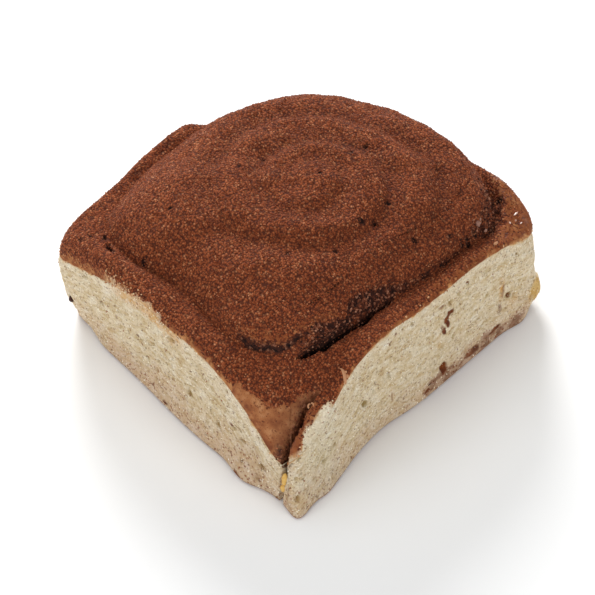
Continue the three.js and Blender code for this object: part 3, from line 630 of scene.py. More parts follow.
custard_side = smooth(0.32, 0.6, custard_side + 0.18 * wall_ragged)
custard_side = np.maximum(custard_side, wall_crack * smooth(12.5, 11, wall_z) * smooth(4, 6, wall_z))
yellow_foot = hump(side[..., 0], -42, 9) * front_wall * (0.7 + 0.5 * hump(wall_z, 13, 6))
custard_side = np.maximum(custard_side, 0.32 * yellow_foot)
shine_side = 0.4 * custard_side

# %% Under the foot
foot_r = [outline(spokes, np.full(AROUND, 0.6)) - 0.35, outline(spokes, np.full(AROUND, 0.0)) - 1.3]
foot_z = [0.35, 0.0]
under_r = [foot_r[-1] * f for f in (0.93, 0.7, 0.4)]

# %% [markdown]
# ## Building the mesh
# All rings have the same number of points, so the faces are quads between one ring
# and the next, turned so that they face outwards. The middle of the dome and the
# middle of the underside are closed with a fan of triangles. The finishes go in as
# one attribute each, which the material reads by name.

# %% Joining the rings
def ring_points(r, z):
    z = np.broadcast_to(z, r.shape)
    return np.stack([HUB[0] + r * np.cos(np.radians(spokes)), HUB[1] + r * np.sin(np.radians(spokes)), z], -1)


layers = [top[i] for i in range(len(top))] + [side[i] for i in range(WALL_ROWS)]
foot = [ring_points(r, z) for r, z in zip(foot_r, foot_z)]
for ring in foot:
    aside, _, _ = crack_side(ring)
    ring[..., 1] += CRACK_REACH * in_crack(aside) * smooth(-43, -44.6, ring[..., 1]) * (signed < 0)
layers += foot + [ring_points(r, 0.0) for r in under_r]
points = np.concatenate([[[HUB[0], HUB[1], float(top[0, :, 2].mean())]],
                         np.concatenate(layers), [[HUB[0], HUB[1], 0.0]]])
count = len(layers)
low_index = len(points) - 1


def spread(top_values, side_values, rest=0.0, centre=0.0):
    tail_part = np.full((len(foot) + len(under_r)) * AROUND + 1, rest)
    return np.concatenate([[centre], top_values.ravel(), side_values.ravel(), tail_part]).astype(np.float32)


FINISH = {
    "cocoa": spread(cocoa_top, cocoa_side, 0.0, 1.0),
    "crumb": spread(crumb_top, crumb_side),
    # Dark filling, and painted shade in the pits, slit, seam, crack and under the lip.
    "dark": spread(dark_top, crack_shade),
    "smudge": spread(0 * r_grid, smudge_side),
    "groove_shade": spread(groove_shade_top, 0 * wall_z),
    "cream": spread(0.6 * crumb_top, cream_side),
    "pale": spread(pale_top, pale_side),
    "orange": spread(orange_top, orange_side, 0.4),
    # Stain on the walls. On the top beside the crack it is painted shade.
    "stain_and_crack_shade": spread(0.5 * shade_top, stain_side, 0.2),
    "hole": spread(0 * r_grid, hole_mask * is_torn),
    "custard": spread(0 * r_grid, custard_side),
    "shine": spread(shine_top, shine_side),
    # Near black painted shade in the slit, pits, crack and under the lip.
    "deep": spread(deep_shade_top, deep_shade_side),
    "loose": spread(loose_top, loose_side),
    "dust": spread(dust_top, cocoa_side, 0.0, 1.0),
    "granules": spread(granules_top, 0 * wall_z),
}

# %% The bun's skin as a mesh
a = 1 + (np.arange(count - 1)[:, None] * AROUND + np.arange(AROUND)[None, :])
b = 1 + (np.arange(count - 1)[:, None] * AROUND + (np.arange(AROUND)[None, :] + 1) % AROUND)
quads = np.stack([a, a + AROUND, b + AROUND, b], -1).reshape(-1, 4)
first = np.arange(AROUND)
cap = [(0, 1 + i, 1 + (i + 1) % AROUND) for i in first]
last_ring = 1 + (count - 1) * AROUND
under = [(low_index, last_ring + (i + 1) % AROUND, last_ring + i) for i in first]
skin = bpy.data.meshes.new("bun_skin")
faces = quads.tolist() + [tuple(map(int, t)) for t in cap + under]
skin.from_pydata(((points + SHIFT) * MM).tolist(), [], faces)
for name, values in FINISH.items():
    skin.attributes.new(name, "FLOAT", "POINT").data.foreach_set("value", values)
# The angle starts and ends on the baked side, where no fibres show.
unrolled = np.where(spokes > 115, spokes - 360, spokes)
round_wall = np.broadcast_to(np.radians(unrolled) * 50, wall_z.shape)
fibre = np.stack([spread(0 * r_grid, values) for values in (round_wall, below, push)], -1) * MM
skin.attributes.new("fibre", "FLOAT_VECTOR", "POINT").data.foreach_set("vector", fibre.ravel())
skin.shade_smooth()
bun = bpy.data.objects.new("bun_skin", skin)
bpy.context.collection.objects.link(bun)
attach(bun, "root")
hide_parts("bun")
print("skin triangles", 2 * len(quads) + 2 * AROUND)


# %% [markdown]
# ## Materials
# Colours are written as the hex values a paint program shows and turned to linear
# light by one function. One more function adds a node with its settings and its
# links, so that each material below reads as a list of what it does.

# %% Colour and node helpers
def linear(hexcode):
    parts = [int(hexcode[i:i + 2], 16) / 255 for i in (1, 3, 5)]
    return [c / 12.92 if c <= 0.04045 else ((c + 0.055) / 1.055) ** 2.4 for c in parts] + [1.0]


def add(tree, kind, inputs=None, out=0, stops=None, **settings):
    """Add a node, set it, link it and return one of its outputs, or the node when out is None."""
    node = tree.nodes.new(kind)
    for key, value in settings.items():
        setattr(node, key, value)
    for key, value in (inputs or {}).items():
        if isinstance(value, bpy.types.NodeSocket):
            tree.links.new(value, node.inputs[key])
        else:
            node.inputs[key].default_value = value
    for k, (position, colour) in enumerate(stops or []):
        bar = node.color_ramp.elements
        element = bar[k] if k < len(bar) else bar.new(position)
        element.position, element.color = position, linear(colour)
    return node if out is None else node.outputs[out]


def new_material(name, roughness, ior=1.45, specular=0.25):
    mat = bpy.data.materials.new(name)
    mat.use_nodes = True
    shader = mat.node_tree.nodes["Principled BSDF"]
    shader.inputs["Roughness"].default_value = roughness
    shader.inputs["IOR"].default_value = ior
    shader.inputs["Specular IOR Level"].default_value = specular
    return mat, mat.node_tree, shader


MATH, RANGE, MIX = "ShaderNodeMath", "ShaderNodeMapRange", "ShaderNodeMix"
NOISE, CELLS, BUMP = "ShaderNodeTexNoise", "ShaderNodeTexVoronoi", "ShaderNodeBump"
RAMP, SPLIT, RANDOM = "ShaderNodeValToRGB", "ShaderNodeSeparateColor", "FunctionNodeRandomValue"
TIMES, PLUS = {"operation": "MULTIPLY"}, {"operation": "ADD"}
# A colour mix: socket 0 is the amount, 6 and 7 are the two colours, 2 is the result.
BLEND = {"data_type": "RGBA", "out": 2}

# %% [markdown]
# ### Cocoa over baked dough
# Cocoa powder lies as matt grains of about half a millimetre, with painted shade in
# the creases between them. A Voronoi pattern gives each grain its own shade. Under it
# the crust is golden brown, and where the bun was torn the crumb is cream, with fine pores.
# The attributes choose between them, and a little noise breaks up every border.

# %% Places and masks
# The real sizes that set the scale of each pattern.
GRAIN, PEBBLE, PORE, SPECK = 0.56 * MM, 0.7 * MM, 1.3 * MM, 1.0 * MM
dough, tree, shader = new_material("cocoa_dusted_sweet_dough", 0.8)
place = add(tree, "ShaderNodeTexCoord", out="Object")
mask = {name: add(tree, "ShaderNodeAttribute", out="Fac", attribute_name=name) for name in FINISH}

# %% Cocoa powder
grain = add(tree, CELLS, {"Vector": place, "Scale": 1 / GRAIN}, out=None)
pick = add(tree, SPLIT, {"Color": grain.outputs["Color"]})
crease = add(tree, RANGE, {"Value": grain.outputs["Distance"], "From Min": 0.30, "From Max": 0.66})
GRAIN_SHADES = [(0.0, "#682C14"), (0.4, "#884321"), (0.75, "#A2542F"), (0.93, "#B66A3F"), (1.0, "#CC8B60")]
fine_shade = add(tree, RAMP, {"Fac": pick}, stops=GRAIN_SHADES)
dust_noise = add(tree, NOISE, {"Vector": place, "Scale": 1 / (6 * MM), "Detail": 4.0, "Roughness": 0.6})
broad_shade = add(tree, RAMP, {"Fac": dust_noise}, stops=[(0.35, "#823B18"), (0.65, "#9A4E27")])
cocoa = add(tree, MIX, {0: 0.72, 6: broad_shade, 7: fine_shade}, **BLEND)
# Painted shade: the creases between the cocoa grains are darkened.
crease_shade = add(tree, MATH, {0: crease, 1: 0.80}, **TIMES)
cocoa = add(tree, MIX, {0: crease_shade, 6: cocoa, 7: linear("#35130A")}, **BLEND)
# Painted shade: the grooves are darkened.
in_groove_shade = add(tree, MATH, {0: mask["groove_shade"], 1: 0.26}, **TIMES)
cocoa = add(tree, MIX, {0: in_groove_shade, 6: cocoa, 7: linear("#401A0D")}, **BLEND)

# %% Bare crust
crust_noise = add(tree, NOISE, {"Vector": place, "Scale": 1 / (2.4 * MM), "Detail": 5.0, "Roughness": 0.62})
PLAIN_SHADES = [(0.3, "#7A4224"), (0.52, "#9A6038"), (0.75, "#BA865A")]
ORANGE_SHADES = [(0.3, "#663015"), (0.55, "#894A24"), (0.78, "#B67E4E")]
crust_plain = add(tree, RAMP, {"Fac": crust_noise}, stops=PLAIN_SHADES)
crust_orange = add(tree, RAMP, {"Fac": crust_noise}, stops=ORANGE_SHADES)
crust = add(tree, MIX, {0: mask["orange"], 6: crust_plain, 7: crust_orange}, **BLEND)
freckle_noise = add(tree, NOISE, {"Vector": place, "Scale": 1 / (0.6 * MM), "Detail": 2.0, "Roughness": 0.5})
freckle = add(tree, RANGE, {"Value": freckle_noise, "From Min": 0.56, "From Max": 0.68, "To Max": 0.75})
crust = add(tree, MIX, {0: freckle, 6: crust, 7: linear("#6B3219")}, **BLEND)
# On the walls this is stain. On the top beside the crack it is painted shade.
crust = add(tree, MIX, {0: mask["stain_and_crack_shade"], 6: crust, 7: linear("#5E351D")}, **BLEND)
edge_line = add(tree, RANGE, {"Value": crust_noise, "From Min": 0.38, "From Max": 0.60})
edge_line = add(tree, MATH, {0: edge_line, 1: mask["pale"]}, **TIMES)
crust = add(tree, MIX, {0: edge_line, 6: crust, 7: linear("#C48F5A")}, **BLEND)

# %% Torn crumb: fibres along the tear, pebbles and pores
fibre_place = add(tree, "ShaderNodeAttribute", out="Vector", attribute_name="fibre")
fibre_place = add(tree, "ShaderNodeMapping", {"Vector": fibre_place, "Scale": (0.32, 1.0, 1.0)})
fibres = add(tree, NOISE, {"Vector": fibre_place, "Scale": 1 / (1.3 * MM), "Detail": 4.0, "Roughness": 0.62})
crumb_noise = add(tree, NOISE, {"Vector": place, "Scale": 1 / (2.6 * MM), "Detail": 7.0, "Roughness": 0.7})
crumb_both = add(tree, MIX, {0: 0.5, 2: crumb_noise, 3: fibres})
CRUMB_SHADES = [(0.34, "#BCA078"), (0.43, "#D3C09A"), (0.50, "#E2D3B4"), (0.58, "#EDE2CA"), (0.70, "#FAF4E6")]
crumb = add(tree, RAMP, {"Fac": crumb_both}, stops=CRUMB_SHADES)
# Partly the crumb's own tone, partly painted light on the front wall.
cream_here = add(tree, MATH, {0: mask["cream"], 1: 0.45}, **TIMES)
pebble = add(tree, CELLS, {"Vector": place, "Scale": 1 / PEBBLE})
pebble_edge = add(tree, RANGE, {"Value": pebble, "From Min": 0.28, "From Max": 0.66, "To Max": 0.28})
pore = add(tree, CELLS, {"Vector": place, "Scale": 1 / PORE}, out=None)
pore_pick = add(tree, SPLIT, {"Color": pore.outputs["Color"]})
pore_chosen = add(tree, RANGE, {"Value": pore_pick, "From Min": 0.76, "From Max": 0.80})
pore_round = add(tree, RANGE, {"Value": pore.outputs["Distance"], "From Min": 0.34, "From Max": 0.10,
                               "To Max": 0.55})
pores = add(tree, MATH, {0: pore_chosen, 1: pore_round}, **TIMES)
olive_hole_shade = add(tree, MATH, {0: mask["hole"], 1: 0.95}, **TIMES)
# Painted shade: the edges of the crumb's pebbles, its pores and its holes are darkened. The holes are partly
# painted shade and partly the crumb's olive tone.
for amount, colour in [(cream_here, "#F8EEDB"), (pebble_edge, "#AC9168"), (pores, "#A68C60"),
                       (olive_hole_shade, "#98814C")]:
    crumb = add(tree, MIX, {0: amount, 6: crumb, 7: linear(colour)}, **BLEND)

# %% Stains, specks and custard on the crumb
pink = add(tree, MATH, {0: mask["stain_and_crack_shade"], 1: 0.52}, **TIMES)
speck = add(tree, CELLS, {"Vector": place, "Scale": 1 / SPECK}, out=None)
speck_pick = add(tree, SPLIT, {"Color": speck.outputs["Color"]}, out="Green")
speck_chosen = add(tree, RANGE, {"Value": speck_pick, "From Min": 0.42, "From Max": 0.52})
speck_round = add(tree, RANGE, {"Value": speck.outputs["Distance"], "From Min": 0.40, "From Max": 0.20})
speck_amount = add(tree, RANGE, {"Value": mask["stain_and_crack_shade"], "To Min": 0.05, "To Max": 1.0})
specks = add(tree, MATH, {0: speck_chosen, 1: speck_round}, **TIMES)
specks = add(tree, MATH, {0: specks, 1: speck_amount}, **TIMES)
toasted = add(tree, RANGE, {"Value": crumb_noise, "From Min": 0.62, "From Max": 0.40, "To Min": 0.35})
toasted = add(tree, MATH, {0: toasted, 1: mask["orange"]}, **TIMES)
for amount, colour in [(pink, "#C29A80"), (specks, "#83432A"), (toasted, "#CD9750")]:
    crumb = add(tree, MIX, {0: amount, 6: crumb, 7: linear(colour)}, **BLEND)
custard_shade = add(tree, RAMP, {"Fac": crumb_noise}, stops=[(0.35, "#C0924A"), (0.65, "#DDBC78")])
crumb = add(tree, MIX, {0: mask["custard"], 6: crumb, 7: custard_shade}, **BLEND)
smudge_shade = add(tree, RAMP, {"Fac": crumb_noise}, stops=[(0.35, "#4E1D0A"), (0.65, "#874820")])
smudge_here = add(tree, RANGE, {"Value": mask["smudge"], "From Min": 0.15, "From Max": 0.75})
crumb = add(tree, MIX, {0: smudge_here, 6: crumb, 7: smudge_shade}, **BLEND)

# %% Laying the finishes over each other
skin_colour = add(tree, MIX, {0: mask["crumb"], 6: crust, 7: crumb}, **BLEND)
wander = add(tree, NOISE, {"Vector": place, "Scale": 1 / (0.75 * MM), "Detail": 3.0, "Roughness": 0.6})
patchy = add(tree, RANGE, {"Value": wander, "From Min": 0.36, "From Max": 0.64})
cocoa_here = add(tree, MATH, {0: mask["cocoa"], 1: patchy}, **PLUS)
cocoa_cover = add(tree, RANGE, {"Value": cocoa_here, "From Min": 0.86, "From Max": 1.1})
skin_colour = add(tree, MIX, {0: cocoa_cover, 6: skin_colour, 7: cocoa}, **BLEND)
# The filling paste's colour. The dark mask lays it as real filling in the hollow and the corner gap, and as
# painted shade in the pits, the slit, the seam, the crack and under the lip.
PASTE_AND_SHADE_TONES = [(0.0, "#1C0905"), (0.5, "#38180D"), (0.8, "#5E2E1B"), (0.96, "#9C664C")]
paste_and_shade_tone = add(tree, RAMP, {"Fac": pick}, stops=PASTE_AND_SHADE_TONES)
dark_here = add(tree, MATH, {0: mask["dark"], 1: wander}, **PLUS)
dark_cover = add(tree, RANGE, {"Value": dark_here, "From Min": 0.62, "From Max": 1.25})
skin_colour = add(tree, MIX, {0: dark_cover, 6: skin_colour, 7: paste_and_shade_tone}, **BLEND)
# Painted shade: near black where the deep mask is set.
skin_colour = add(tree, MIX, {0: mask["deep"], 6: skin_colour, 7: linear("#080302")}, **BLEND)
tree.links.new(skin_colour, shader.inputs["Base Color"])
shine = add(tree, RANGE, {"Value": mask["shine"], "To Min": 0.88, "To Max": 0.38})
tree.links.new(shine, shader.inputs["Roughness"])

# %% Fine relief of the grains and the crumb
grainy_here = add(tree, MATH, {0: cocoa_cover, 1: mask["dark"]}, operation="MAXIMUM")
grain_normal = add(tree, BUMP, {"Height": grain.outputs["Distance"], "Distance": 0.42 * MM,
                                "Strength": grainy_here}, invert=True)
crumb_height = add(tree, MATH, {0: crumb_both, 1: 2.0}, **TIMES)
crumb_height = add(tree, MATH, {0: crumb_height, 1: pebble_edge}, operation="SUBTRACT")
crumb_height = add(tree, MATH, {0: crumb_height, 1: pores}, operation="SUBTRACT")
crumb_normal = add(tree, BUMP, {"Height": crumb_height, "Distance": 0.7 * MM, "Strength": mask["crumb"],
                                "Normal": grain_normal})
tree.links.new(crumb_normal, shader.inputs["Normal"])
skin.materials.append(dough)

# %% [markdown]
# ### Filling
# The filling node is the dark layer that runs through the seam. Its solid already
# has the right place, so it keeps its mesh and only gets the look of cocoa paste:
# nearly black, slightly damp, with paler sugar grains.

# %% The filling material
paste, tree, shader = new_material("cocoa_paste", 0.62, 1.46)
place = add(tree, "ShaderNodeTexCoord", out="Object")
cells = add(tree, CELLS, {"Vector": place, "Scale": 1 / (0.5 * MM)}, out=None)
pick = add(tree, SPLIT, {"Color": cells.outputs["Color"]})
FILLING_SHADES = [(0.0, "#1A0904"), (0.6, "#3A1A10"), (0.9, "#5A3222"), (0.99, "#9A6C55")]
shade = add(tree, RAMP, {"Fac": pick}, stops=FILLING_SHADES)
tree.links.new(shade, shader.inputs["Base Color"])
bumpy = add(tree, BUMP, {"Height": cells.outputs["Distance"], "Strength": 0.8, "Distance": 0.3 * MM},
            invert=True)
tree.links.new(bumpy, shader.inputs["Normal"])
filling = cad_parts["filling"]
filling.data.materials.clear()
filling.data.materials.append(paste)

# %% [markdown]
# ## Loose grains and crumbs
# Cocoa powder isn't a smooth coat: small lumps stand on it and catch the light. In
# the hollow under the lip lie darker granules of the filling. The torn sides carry
# tiny crumbs, and the torn edge has larger ones. One Geometry Nodes tree for each
# kind reads how much of it belongs at each place. A grain is an octahedron of eight
# faces, since there are thousands.

# %% The scattering tree
def scatter_tree(name, mask_name, material):
    tree = bpy.data.node_groups.new(name, "GeometryNodeTree")
    tree.interface.new_socket("Geometry", in_out="OUTPUT", socket_type="NodeSocketGeometry")
    tree.interface.new_socket("Skin", in_out="INPUT", socket_type="NodeSocketObject")
    for label in ("Per square metre", "Smallest", "Largest"):
        tree.interface.new_socket(label, in_out="INPUT", socket_type="NodeSocketFloat")
    tree.interface.new_socket("Seed", in_out="INPUT", socket_type="NodeSocketInt")
    given = add(tree, "NodeGroupInput", out=None).outputs
    surface = add(tree, "GeometryNodeObjectInfo", {"Object": given["Skin"]}, out="Geometry")
    cover = add(tree, "GeometryNodeInputNamedAttribute", {"Name": mask_name}, data_type="FLOAT")
    amount = add(tree, MATH, {0: cover, 1: given["Per square metre"]}, **TIMES)
    spots = add(tree, "GeometryNodeDistributePointsOnFaces",
                {"Mesh": surface, "Density": amount, "Seed": given["Seed"]})
    grain = add(tree, "GeometryNodeMeshUVSphere", {"Segments": 4, "Rings": 2, "Radius": 0.5})
    size = add(tree, RANDOM, {2: given["Smallest"], 3: given["Largest"], "Seed": 3}, out=1, data_type="FLOAT")
    stretch = add(tree, RANDOM, {0: (0.6, 0.6, 0.55), 1: (1.35, 1.35, 1.1), "Seed": 4},
                  data_type="FLOAT_VECTOR")
    scale = add(tree, "ShaderNodeVectorMath", {0: stretch, "Scale": size}, operation="SCALE")
    turn = add(tree, RANDOM, {0: (0, 0, 0), 1: (6.3, 6.3, 6.3), "Seed": 5}, data_type="FLOAT_VECTOR")
    grains = add(tree, "GeometryNodeInstanceOnPoints",
                 {"Points": spots, "Instance": grain, "Rotation": turn, "Scale": scale})
    shade = add(tree, RANDOM, {2: 0.0, 3: 1.0, "Seed": 6}, out=1, data_type="FLOAT")
    grains = add(tree, "GeometryNodeStoreNamedAttribute",
                 {"Geometry": grains, "Name": "shade", "Value": shade}, data_type="FLOAT", domain="INSTANCE")
    solid = add(tree, "GeometryNodeRealizeInstances", {0: grains})
    done = add(tree, "GeometryNodeSetMaterial", {"Geometry": solid, "Material": material})
    add(tree, "NodeGroupOutput", {0: done}, out=None)
    return tree


def scatter(name, tree, **values):
    obj = bpy.data.objects.new(name, bpy.data.meshes.new(name))
    bpy.context.collection.objects.link(obj)
    modifier = obj.modifiers.new(name, "NODES")
    modifier.node_group = tree
    for item in tree.interface.items_tree:
        if item.item_type == "SOCKET" and item.in_out == "INPUT":
            modifier[item.identifier] = values[item.name.replace(" ", "_").lower()]
    ready = obj.evaluated_get(bpy.context.evaluated_depsgraph_get())
    mesh = bpy.data.meshes.new_from_object(ready)
    obj.modifiers.clear()
    obj.data = mesh
    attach(obj, "root")
    print(name, "triangles", sum(len(face.vertices) - 2 for face in mesh.polygons))
    return obj


# %% Materials of the scattered pieces
def shaded_material(name, stops, roughness):
    mat, tree, shader = new_material(name, roughness)
    shade = add(tree, "ShaderNodeAttribute", out="Fac", attribute_name="shade")
    tree.links.new(add(tree, RAMP, {"Fac": shade}, stops=stops), shader.inputs["Base Color"])
    return mat


# Dry cocoa is matt, filling a little damp, crumb soft and matt with a few cocoa specks,
# and torn crust is smoother where it was baked.
powder = shaded_material("cocoa_powder_lumps",
                         [(0.0, "#4E1F10"), (0.4, "#7C3A1C"), (0.85, "#96502F"), (0.98, "#B67A54")], 0.9)
granules = shaded_material("filling_granules",
                           [(0.0, "#1E0B05"), (0.45, "#3E1B0F"), (0.8, "#703E2A"), (0.95, "#A8745A")], 0.8)
crumbs = shaded_material("soft_bread_crumbs",
                         [(0.0, "#D8C6A0"), (0.5, "#EFE4CA"), (0.9, "#FAF3E4"), (0.96, "#9A5F3F")], 0.85)
torn_bits = shaded_material("torn_crust_crumbs",
                            [(0.0, "#7A4226"), (0.35, "#A66C40"), (0.75, "#C8966A"), (0.95, "#DDBB92")], 0.7)

# %% Scattering them
scatter("cocoa_lumps", scatter_tree("cocoa_lumps", "dust", powder), skin=bun,
        per_square_metre=1.75e6, smallest=0.24 * MM, largest=0.60 * MM, seed=11)
scatter("filling_granules", scatter_tree("filling_granules", "granules", granules), skin=bun,
        per_square_metre=1.5e6, smallest=0.40 * MM, largest=0.95 * MM, seed=14)
scatter("wall_crumbs", scatter_tree("wall_crumbs", "crumb", crumbs), skin=bun,
        per_square_metre=0.36e6, smallest=0.2 * MM, largest=0.6 * MM, seed=12)
scatter("edge_crumbs", scatter_tree("edge_crumbs", "loose", torn_bits), skin=bun,
        per_square_metre=1.1e6, smallest=0.3 * MM, largest=0.85 * MM, seed=13)


# %% [markdown]
# ## Flakes, glaze and custard
# A few pieces are single and have a form of their own: two curled flakes at the
# crack, a torn flap and bits of crust on the edge, drops of clear glaze and caked
# sugar at the right corner, set custard in the crack and a dark bead on the wall.
# Each is a small closed form, bent or made uneven by noise, and let into the skin.

# %% Bent strands and uneven lumps
RIGHT = np.array([math.cos(math.radians(45)), math.sin(math.radians(45)), 0.0])
UP = np.array([-0.5495, 0.5495, 0.6293])


def mesh_piece(name, material, parts):
    """Joins the parts, each a form with its place and sizes, into one piece."""
    verts, faces = gather(parts)
    mesh = bpy.data.meshes.new(name)
    placed = ((np.asarray(verts) + SHIFT) * MM).tolist()
    mesh.from_pydata(placed, [], [tuple(int(i) for i in f) for f in faces])
    mesh.shade_smooth()
    mesh.materials.append(material)
    obj = bpy.data.objects.new(name, mesh)
    bpy.context.collection.objects.link(obj)
    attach(obj, "root")
    return obj


def strand(path, radii, start=0, sides=10, squash=1.0, seed=1):
    path = np.asarray(path, float)
    ahead = np.gradient(path, axis=0)
    ahead /= np.linalg.norm(ahead, axis=1, keepdims=True)
    across = np.cross(ahead, [0.3, 0.2, 0.93])
    across /= np.linalg.norm(across, axis=1, keepdims=True)
    other = np.cross(ahead, across)
    turn = np.linspace(0, 2 * np.pi, sides, endpoint=False)
    c, s = np.cos(turn)[None, :, None], np.sin(turn)[None, :, None]
    ring = across[:, None] * c + other[:, None] * s * squash
    verts = path[:, None] + ring * np.asarray(radii, float)[:, None, None]
    verts = verts.reshape(-1, 3)
    verts += 0.16 * layered(verts, 0.7, seed, 2)[:, None] * (verts - np.repeat(path, sides, 0))
    faces = []
    for i in range(len(path) - 1):
        for j in range(sides):
            k = (j + 1) % sides
            faces.append([i * sides + j, i * sides + k, (i + 1) * sides + k, (i + 1) * sides + j])
    faces.append(list(range(sides))[::-1])
    faces.append([(len(path) - 1) * sides + j for j in range(sides)])
    return verts, [[start + i for i in face] for face in faces]


def lump(centre, radii, start=0, seed=1, rows=9, around=14, rough=0.25):
    verts = [[0, 0, 1]]
    for i in range(1, rows):
        a = math.pi * i / rows
        for j in range(around):
            b = 2 * math.pi * j / around
            verts.append([math.sin(a) * math.cos(b), math.sin(a) * math.sin(b), math.cos(a)])
    verts.append([0, 0, -1])
    verts = np.array(verts)
    verts *= (1 + rough * layered(verts, 0.8, seed, 2))[:, None]
    faces = [[0, 1 + j, 1 + (j + 1) % around] for j in range(around)]
    for i in range(rows - 2):
        for j in range(around):
            a, b = 1 + i * around + j, 1 + i * around + (j + 1) % around
            faces.append([a, a + around, b + around, b])
    last, low = len(verts) - 1, 1 + (rows - 2) * around
    faces += [[last, low + (j + 1) % around, low + j] for j in range(around)]
    return verts * np.asarray(radii) + np.asarray(centre), [[start + i for i in face] for face in faces]


def gather(parts):
    verts, faces = [], []
    for make, args, extra in parts:
        v, f = make(*args, start=sum(len(x) for x in verts), **extra)
        verts.append(v)
        faces += f
    return np.concatenate(verts), faces


# %% The curled flakes and the torn flap
curl_at = np.array([39.3, -35.1, 28.3])


def curl(steps):
    return [curl_at + RIGHT * a + UP * b for a, b in steps]


left_curl = curl([(-0.5, -0.5), (-0.7, -0.1), (-0.62, 0.35), (-0.38, 0.6), (-0.1, 0.5)])
right_curl = curl([(0.4, -0.75), (0.64, -0.3), (0.66, 0.2), (0.5, 0.65), (0.22, 0.85), (0.0, 0.65)])
flake_skin = shaded_material("pale_crust_flake", [(0.0, "#B98560"), (1.0, "#DDB48C")], 0.6)
mesh_piece("curled_flakes", flake_skin,
    [(strand, (left_curl, [0.22, 0.24, 0.22, 0.2, 0.12]), dict(seed=3)),
     (strand, (right_curl, [0.2, 0.24, 0.24, 0.22, 0.2, 0.12]), dict(seed=4))])
flap_path = [(39.6, -25.6, 34.9), (40.4, -25.7, 35.4), (41.2, -26.0, 35.5), (42.0, -26.4, 35.1),
             (42.6, -26.8, 34.2), (43.0, -27.0, 33.2)]
mesh_piece("torn_flap", flake_skin,
    [(strand, (flap_path, [0.15, 0.34, 0.46, 0.48, 0.42, 0.2]), dict(seed=5, squash=0.6)),
     (lump, ((42.4, -25.9, 34.6), (0.4, 0.4, 0.4)), dict(seed=6)),
     (lump, ((41.6, -25.6, 35.4), (0.3, 0.35, 0.25)), dict(seed=7))])
mesh_piece("crust_bits", flake_skin,
    [(lump, ((39.9, 4.9, 37.7), (0.75, 0.6, 0.45)), dict(seed=8)),
     (lump, ((40.5, 6.3, 37.3), (0.6, 0.7, 0.4)), dict(seed=9)),
     (lump, ((39.3, 6.4, 37.6), (0.4, 0.5, 0.35)), dict(seed=10)),
     (lump, ((41.1, 29.6, 36.9), (0.4, 0.7, 0.3)), dict(seed=11))])

# %% Glaze, custard and the dark bead
# Clear sugar glaze: smooth and very glossy, so it shows as white glints.
glaze, tree, shader = new_material("clear_sugar_glaze", 0.12, 1.47, specular=0.6)
shader.inputs["Coat Weight"].default_value = 0.8
shader.inputs["Coat Roughness"].default_value = 0.06
place = add(tree, "ShaderNodeTexCoord", out="Object")
spread_noise = add(tree, NOISE, {"Vector": place, "Scale": 1 / (1.0 * MM), "Detail": 3.0})
glaze_shade = add(tree, RAMP, {"Fac": spread_noise}, stops=[(0.35, "#A8683F"), (0.65, "#E6CDBE")])
tree.links.new(glaze_shade, shader.inputs["Base Color"])
drops = [((37.2, 42.2, 35.15), (0.26, 0.9, 0.2)), ((38.6, 40.6, 34.9), (0.26, 0.34, 0.18)),
         ((38.3, 38.6, 35.4), (0.38, 0.24, 0.17)), ((39.8, 41.4, 34.2), (0.2, 0.55, 0.18))]
mesh_piece("glaze_drops", glaze,
    [(lump, drop, dict(seed=20 + i)) for i, drop in enumerate(drops)])
# Sugar that has taken up moisture: pinkish brown, half dull.
sugar = shaded_material("caked_sugar", [(0.0, "#9E7564"), (1.0, "#D2B3A4")], 0.45)
mesh_piece("sugar_lumps", sugar,
    [(lump, ((35.0, 29.2, 40.1), (0.75, 0.6, 0.8)), dict(seed=30, rough=0.5)),
     (lump, ((34.6, 30.6, 40.0), (0.35, 0.4, 0.35)), dict(seed=31, rough=0.5)),
     (lump, ((36.9, 30.4, 37.8), (0.35, 0.5, 0.35)), dict(seed=33, rough=0.5))])
# Set custard: egg yellow, smooth and slightly moist.
custard, tree, shader = new_material("set_custard", 0.4, 1.45)
place = add(tree, "ShaderNodeTexCoord", out="Object")
custard_noise = add(tree, NOISE, {"Vector": place, "Scale": 1 / (1.5 * MM), "Detail": 3.0})
custard_shade = add(tree, RAMP, {"Fac": custard_noise}, stops=[(0.35, "#BE8A3A"), (0.65, "#DDB464")])
tree.links.new(custard_shade, shader.inputs["Base Color"])
mesh_piece("custard_bead", custard,
    [(lump, ((41.1, -45.9, 9.6), (0.8, 1.0, 2.4)), dict(seed=40, rough=0.15)),
     (lump, ((41.2, -46.3, 6.6), (0.9, 0.9, 1.3)), dict(seed=41, rough=0.15))])
# Syrup that baked to a dark, glossy bead on the wall.
syrup = shaded_material("baked_dark_syrup", [(0.0, "#3A1A0C"), (1.0, "#5A2C16")], 0.35)
mesh_piece("dark_bead", syrup, [(lump, ((-39.1, -46.4, 11.0), (0.75, 0.75, 1.3)), dict(seed=42, rough=0.15))])

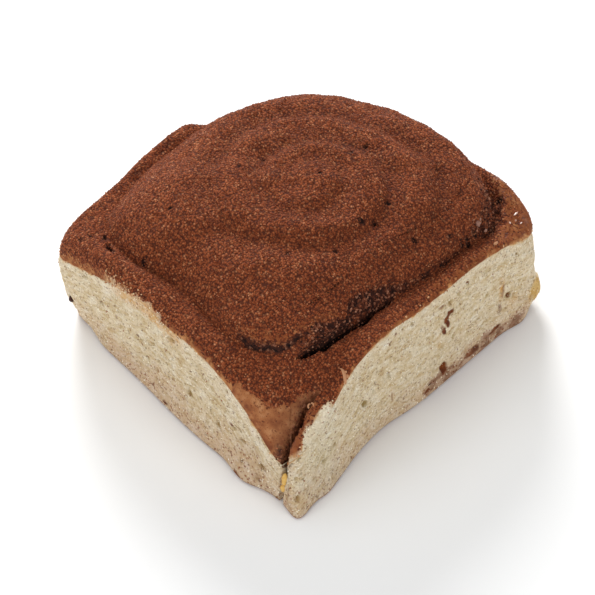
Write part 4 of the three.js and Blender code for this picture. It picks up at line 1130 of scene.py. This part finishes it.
# %% [markdown]
# ## Floor, light and camera
# The picture has a plain white ground and soft light from above and behind, which
# is what a big window or a softbox gives. A pale floor, one strong lamp and three
# weaker ones do the same. The camera has the picture's place: 51 degrees above the
# table, on the line of the near corner.

# %% Floor
bpy.ops.mesh.primitive_plane_add(size=4.0)
floor = bpy.context.object
floor.name = "floor"
ground, tree, shader = new_material("matt_paper_ground", 0.9)
shader.inputs["Base Color"].default_value = linear("#FBFBFA")
floor.data.materials.append(ground)


# %% Lamps and sky
def lamp(name, place, aim, size, power):
    data = bpy.data.lights.new(name, "AREA")
    data.shape = "DISK"
    data.size = size
    data.energy = power
    obj = bpy.data.objects.new(name, data)
    bpy.context.collection.objects.link(obj)
    obj.location = Vector(place)
    obj.rotation_euler = (Vector(aim) - Vector(place)).to_track_quat("-Z", "Y").to_euler()
    return obj


lamp("window_behind", (-0.60, 0.42, 0.42), (0, 0, 0.03), 0.40, 7.9)
lamp("window_above", (-0.25, -0.05, 0.80), (0, 0, 0.02), 0.6, 1.6)
lamp("fill_left", (-0.10, -0.80, 0.35), (0, 0, 0.02), 0.6, 2.7)
lamp("fill_right", (0.80, 0.05, 0.35), (0, 0, 0.02), 0.6, 2.6)
world = bpy.data.worlds.new("soft_room")
world.use_nodes = True
world.node_tree.nodes["Background"].inputs["Color"].default_value = (0.95, 0.97, 1.0, 1.0)
world.node_tree.nodes["Background"].inputs["Strength"].default_value = 0.38
bpy.context.scene.world = world
bpy.context.scene.view_settings.view_transform = "Standard"

# %% Camera
PHOTO_TARGET = (np.array([8.35, -8.75, 20.0]) + SHIFT) * MM
AZIMUTH, ELEVATION, DISTANCE = math.radians(45), math.radians(51), 450 * MM
level = math.cos(ELEVATION)
back = Vector((math.sin(AZIMUTH) * level, -math.cos(AZIMUTH) * level, math.sin(ELEVATION)))
camera = bpy.data.objects.new("photo_camera", bpy.data.cameras.new("photo_camera"))
bpy.context.collection.objects.link(camera)
camera.location = Vector(PHOTO_TARGET) + back * DISTANCE
camera.rotation_euler = (-back).to_track_quat("-Z", "Y").to_euler()
camera.data.lens = 104.83
camera.data.sensor_width = 36.0
camera.data.clip_start, camera.data.clip_end = 0.01, 20
bpy.context.scene.camera = camera
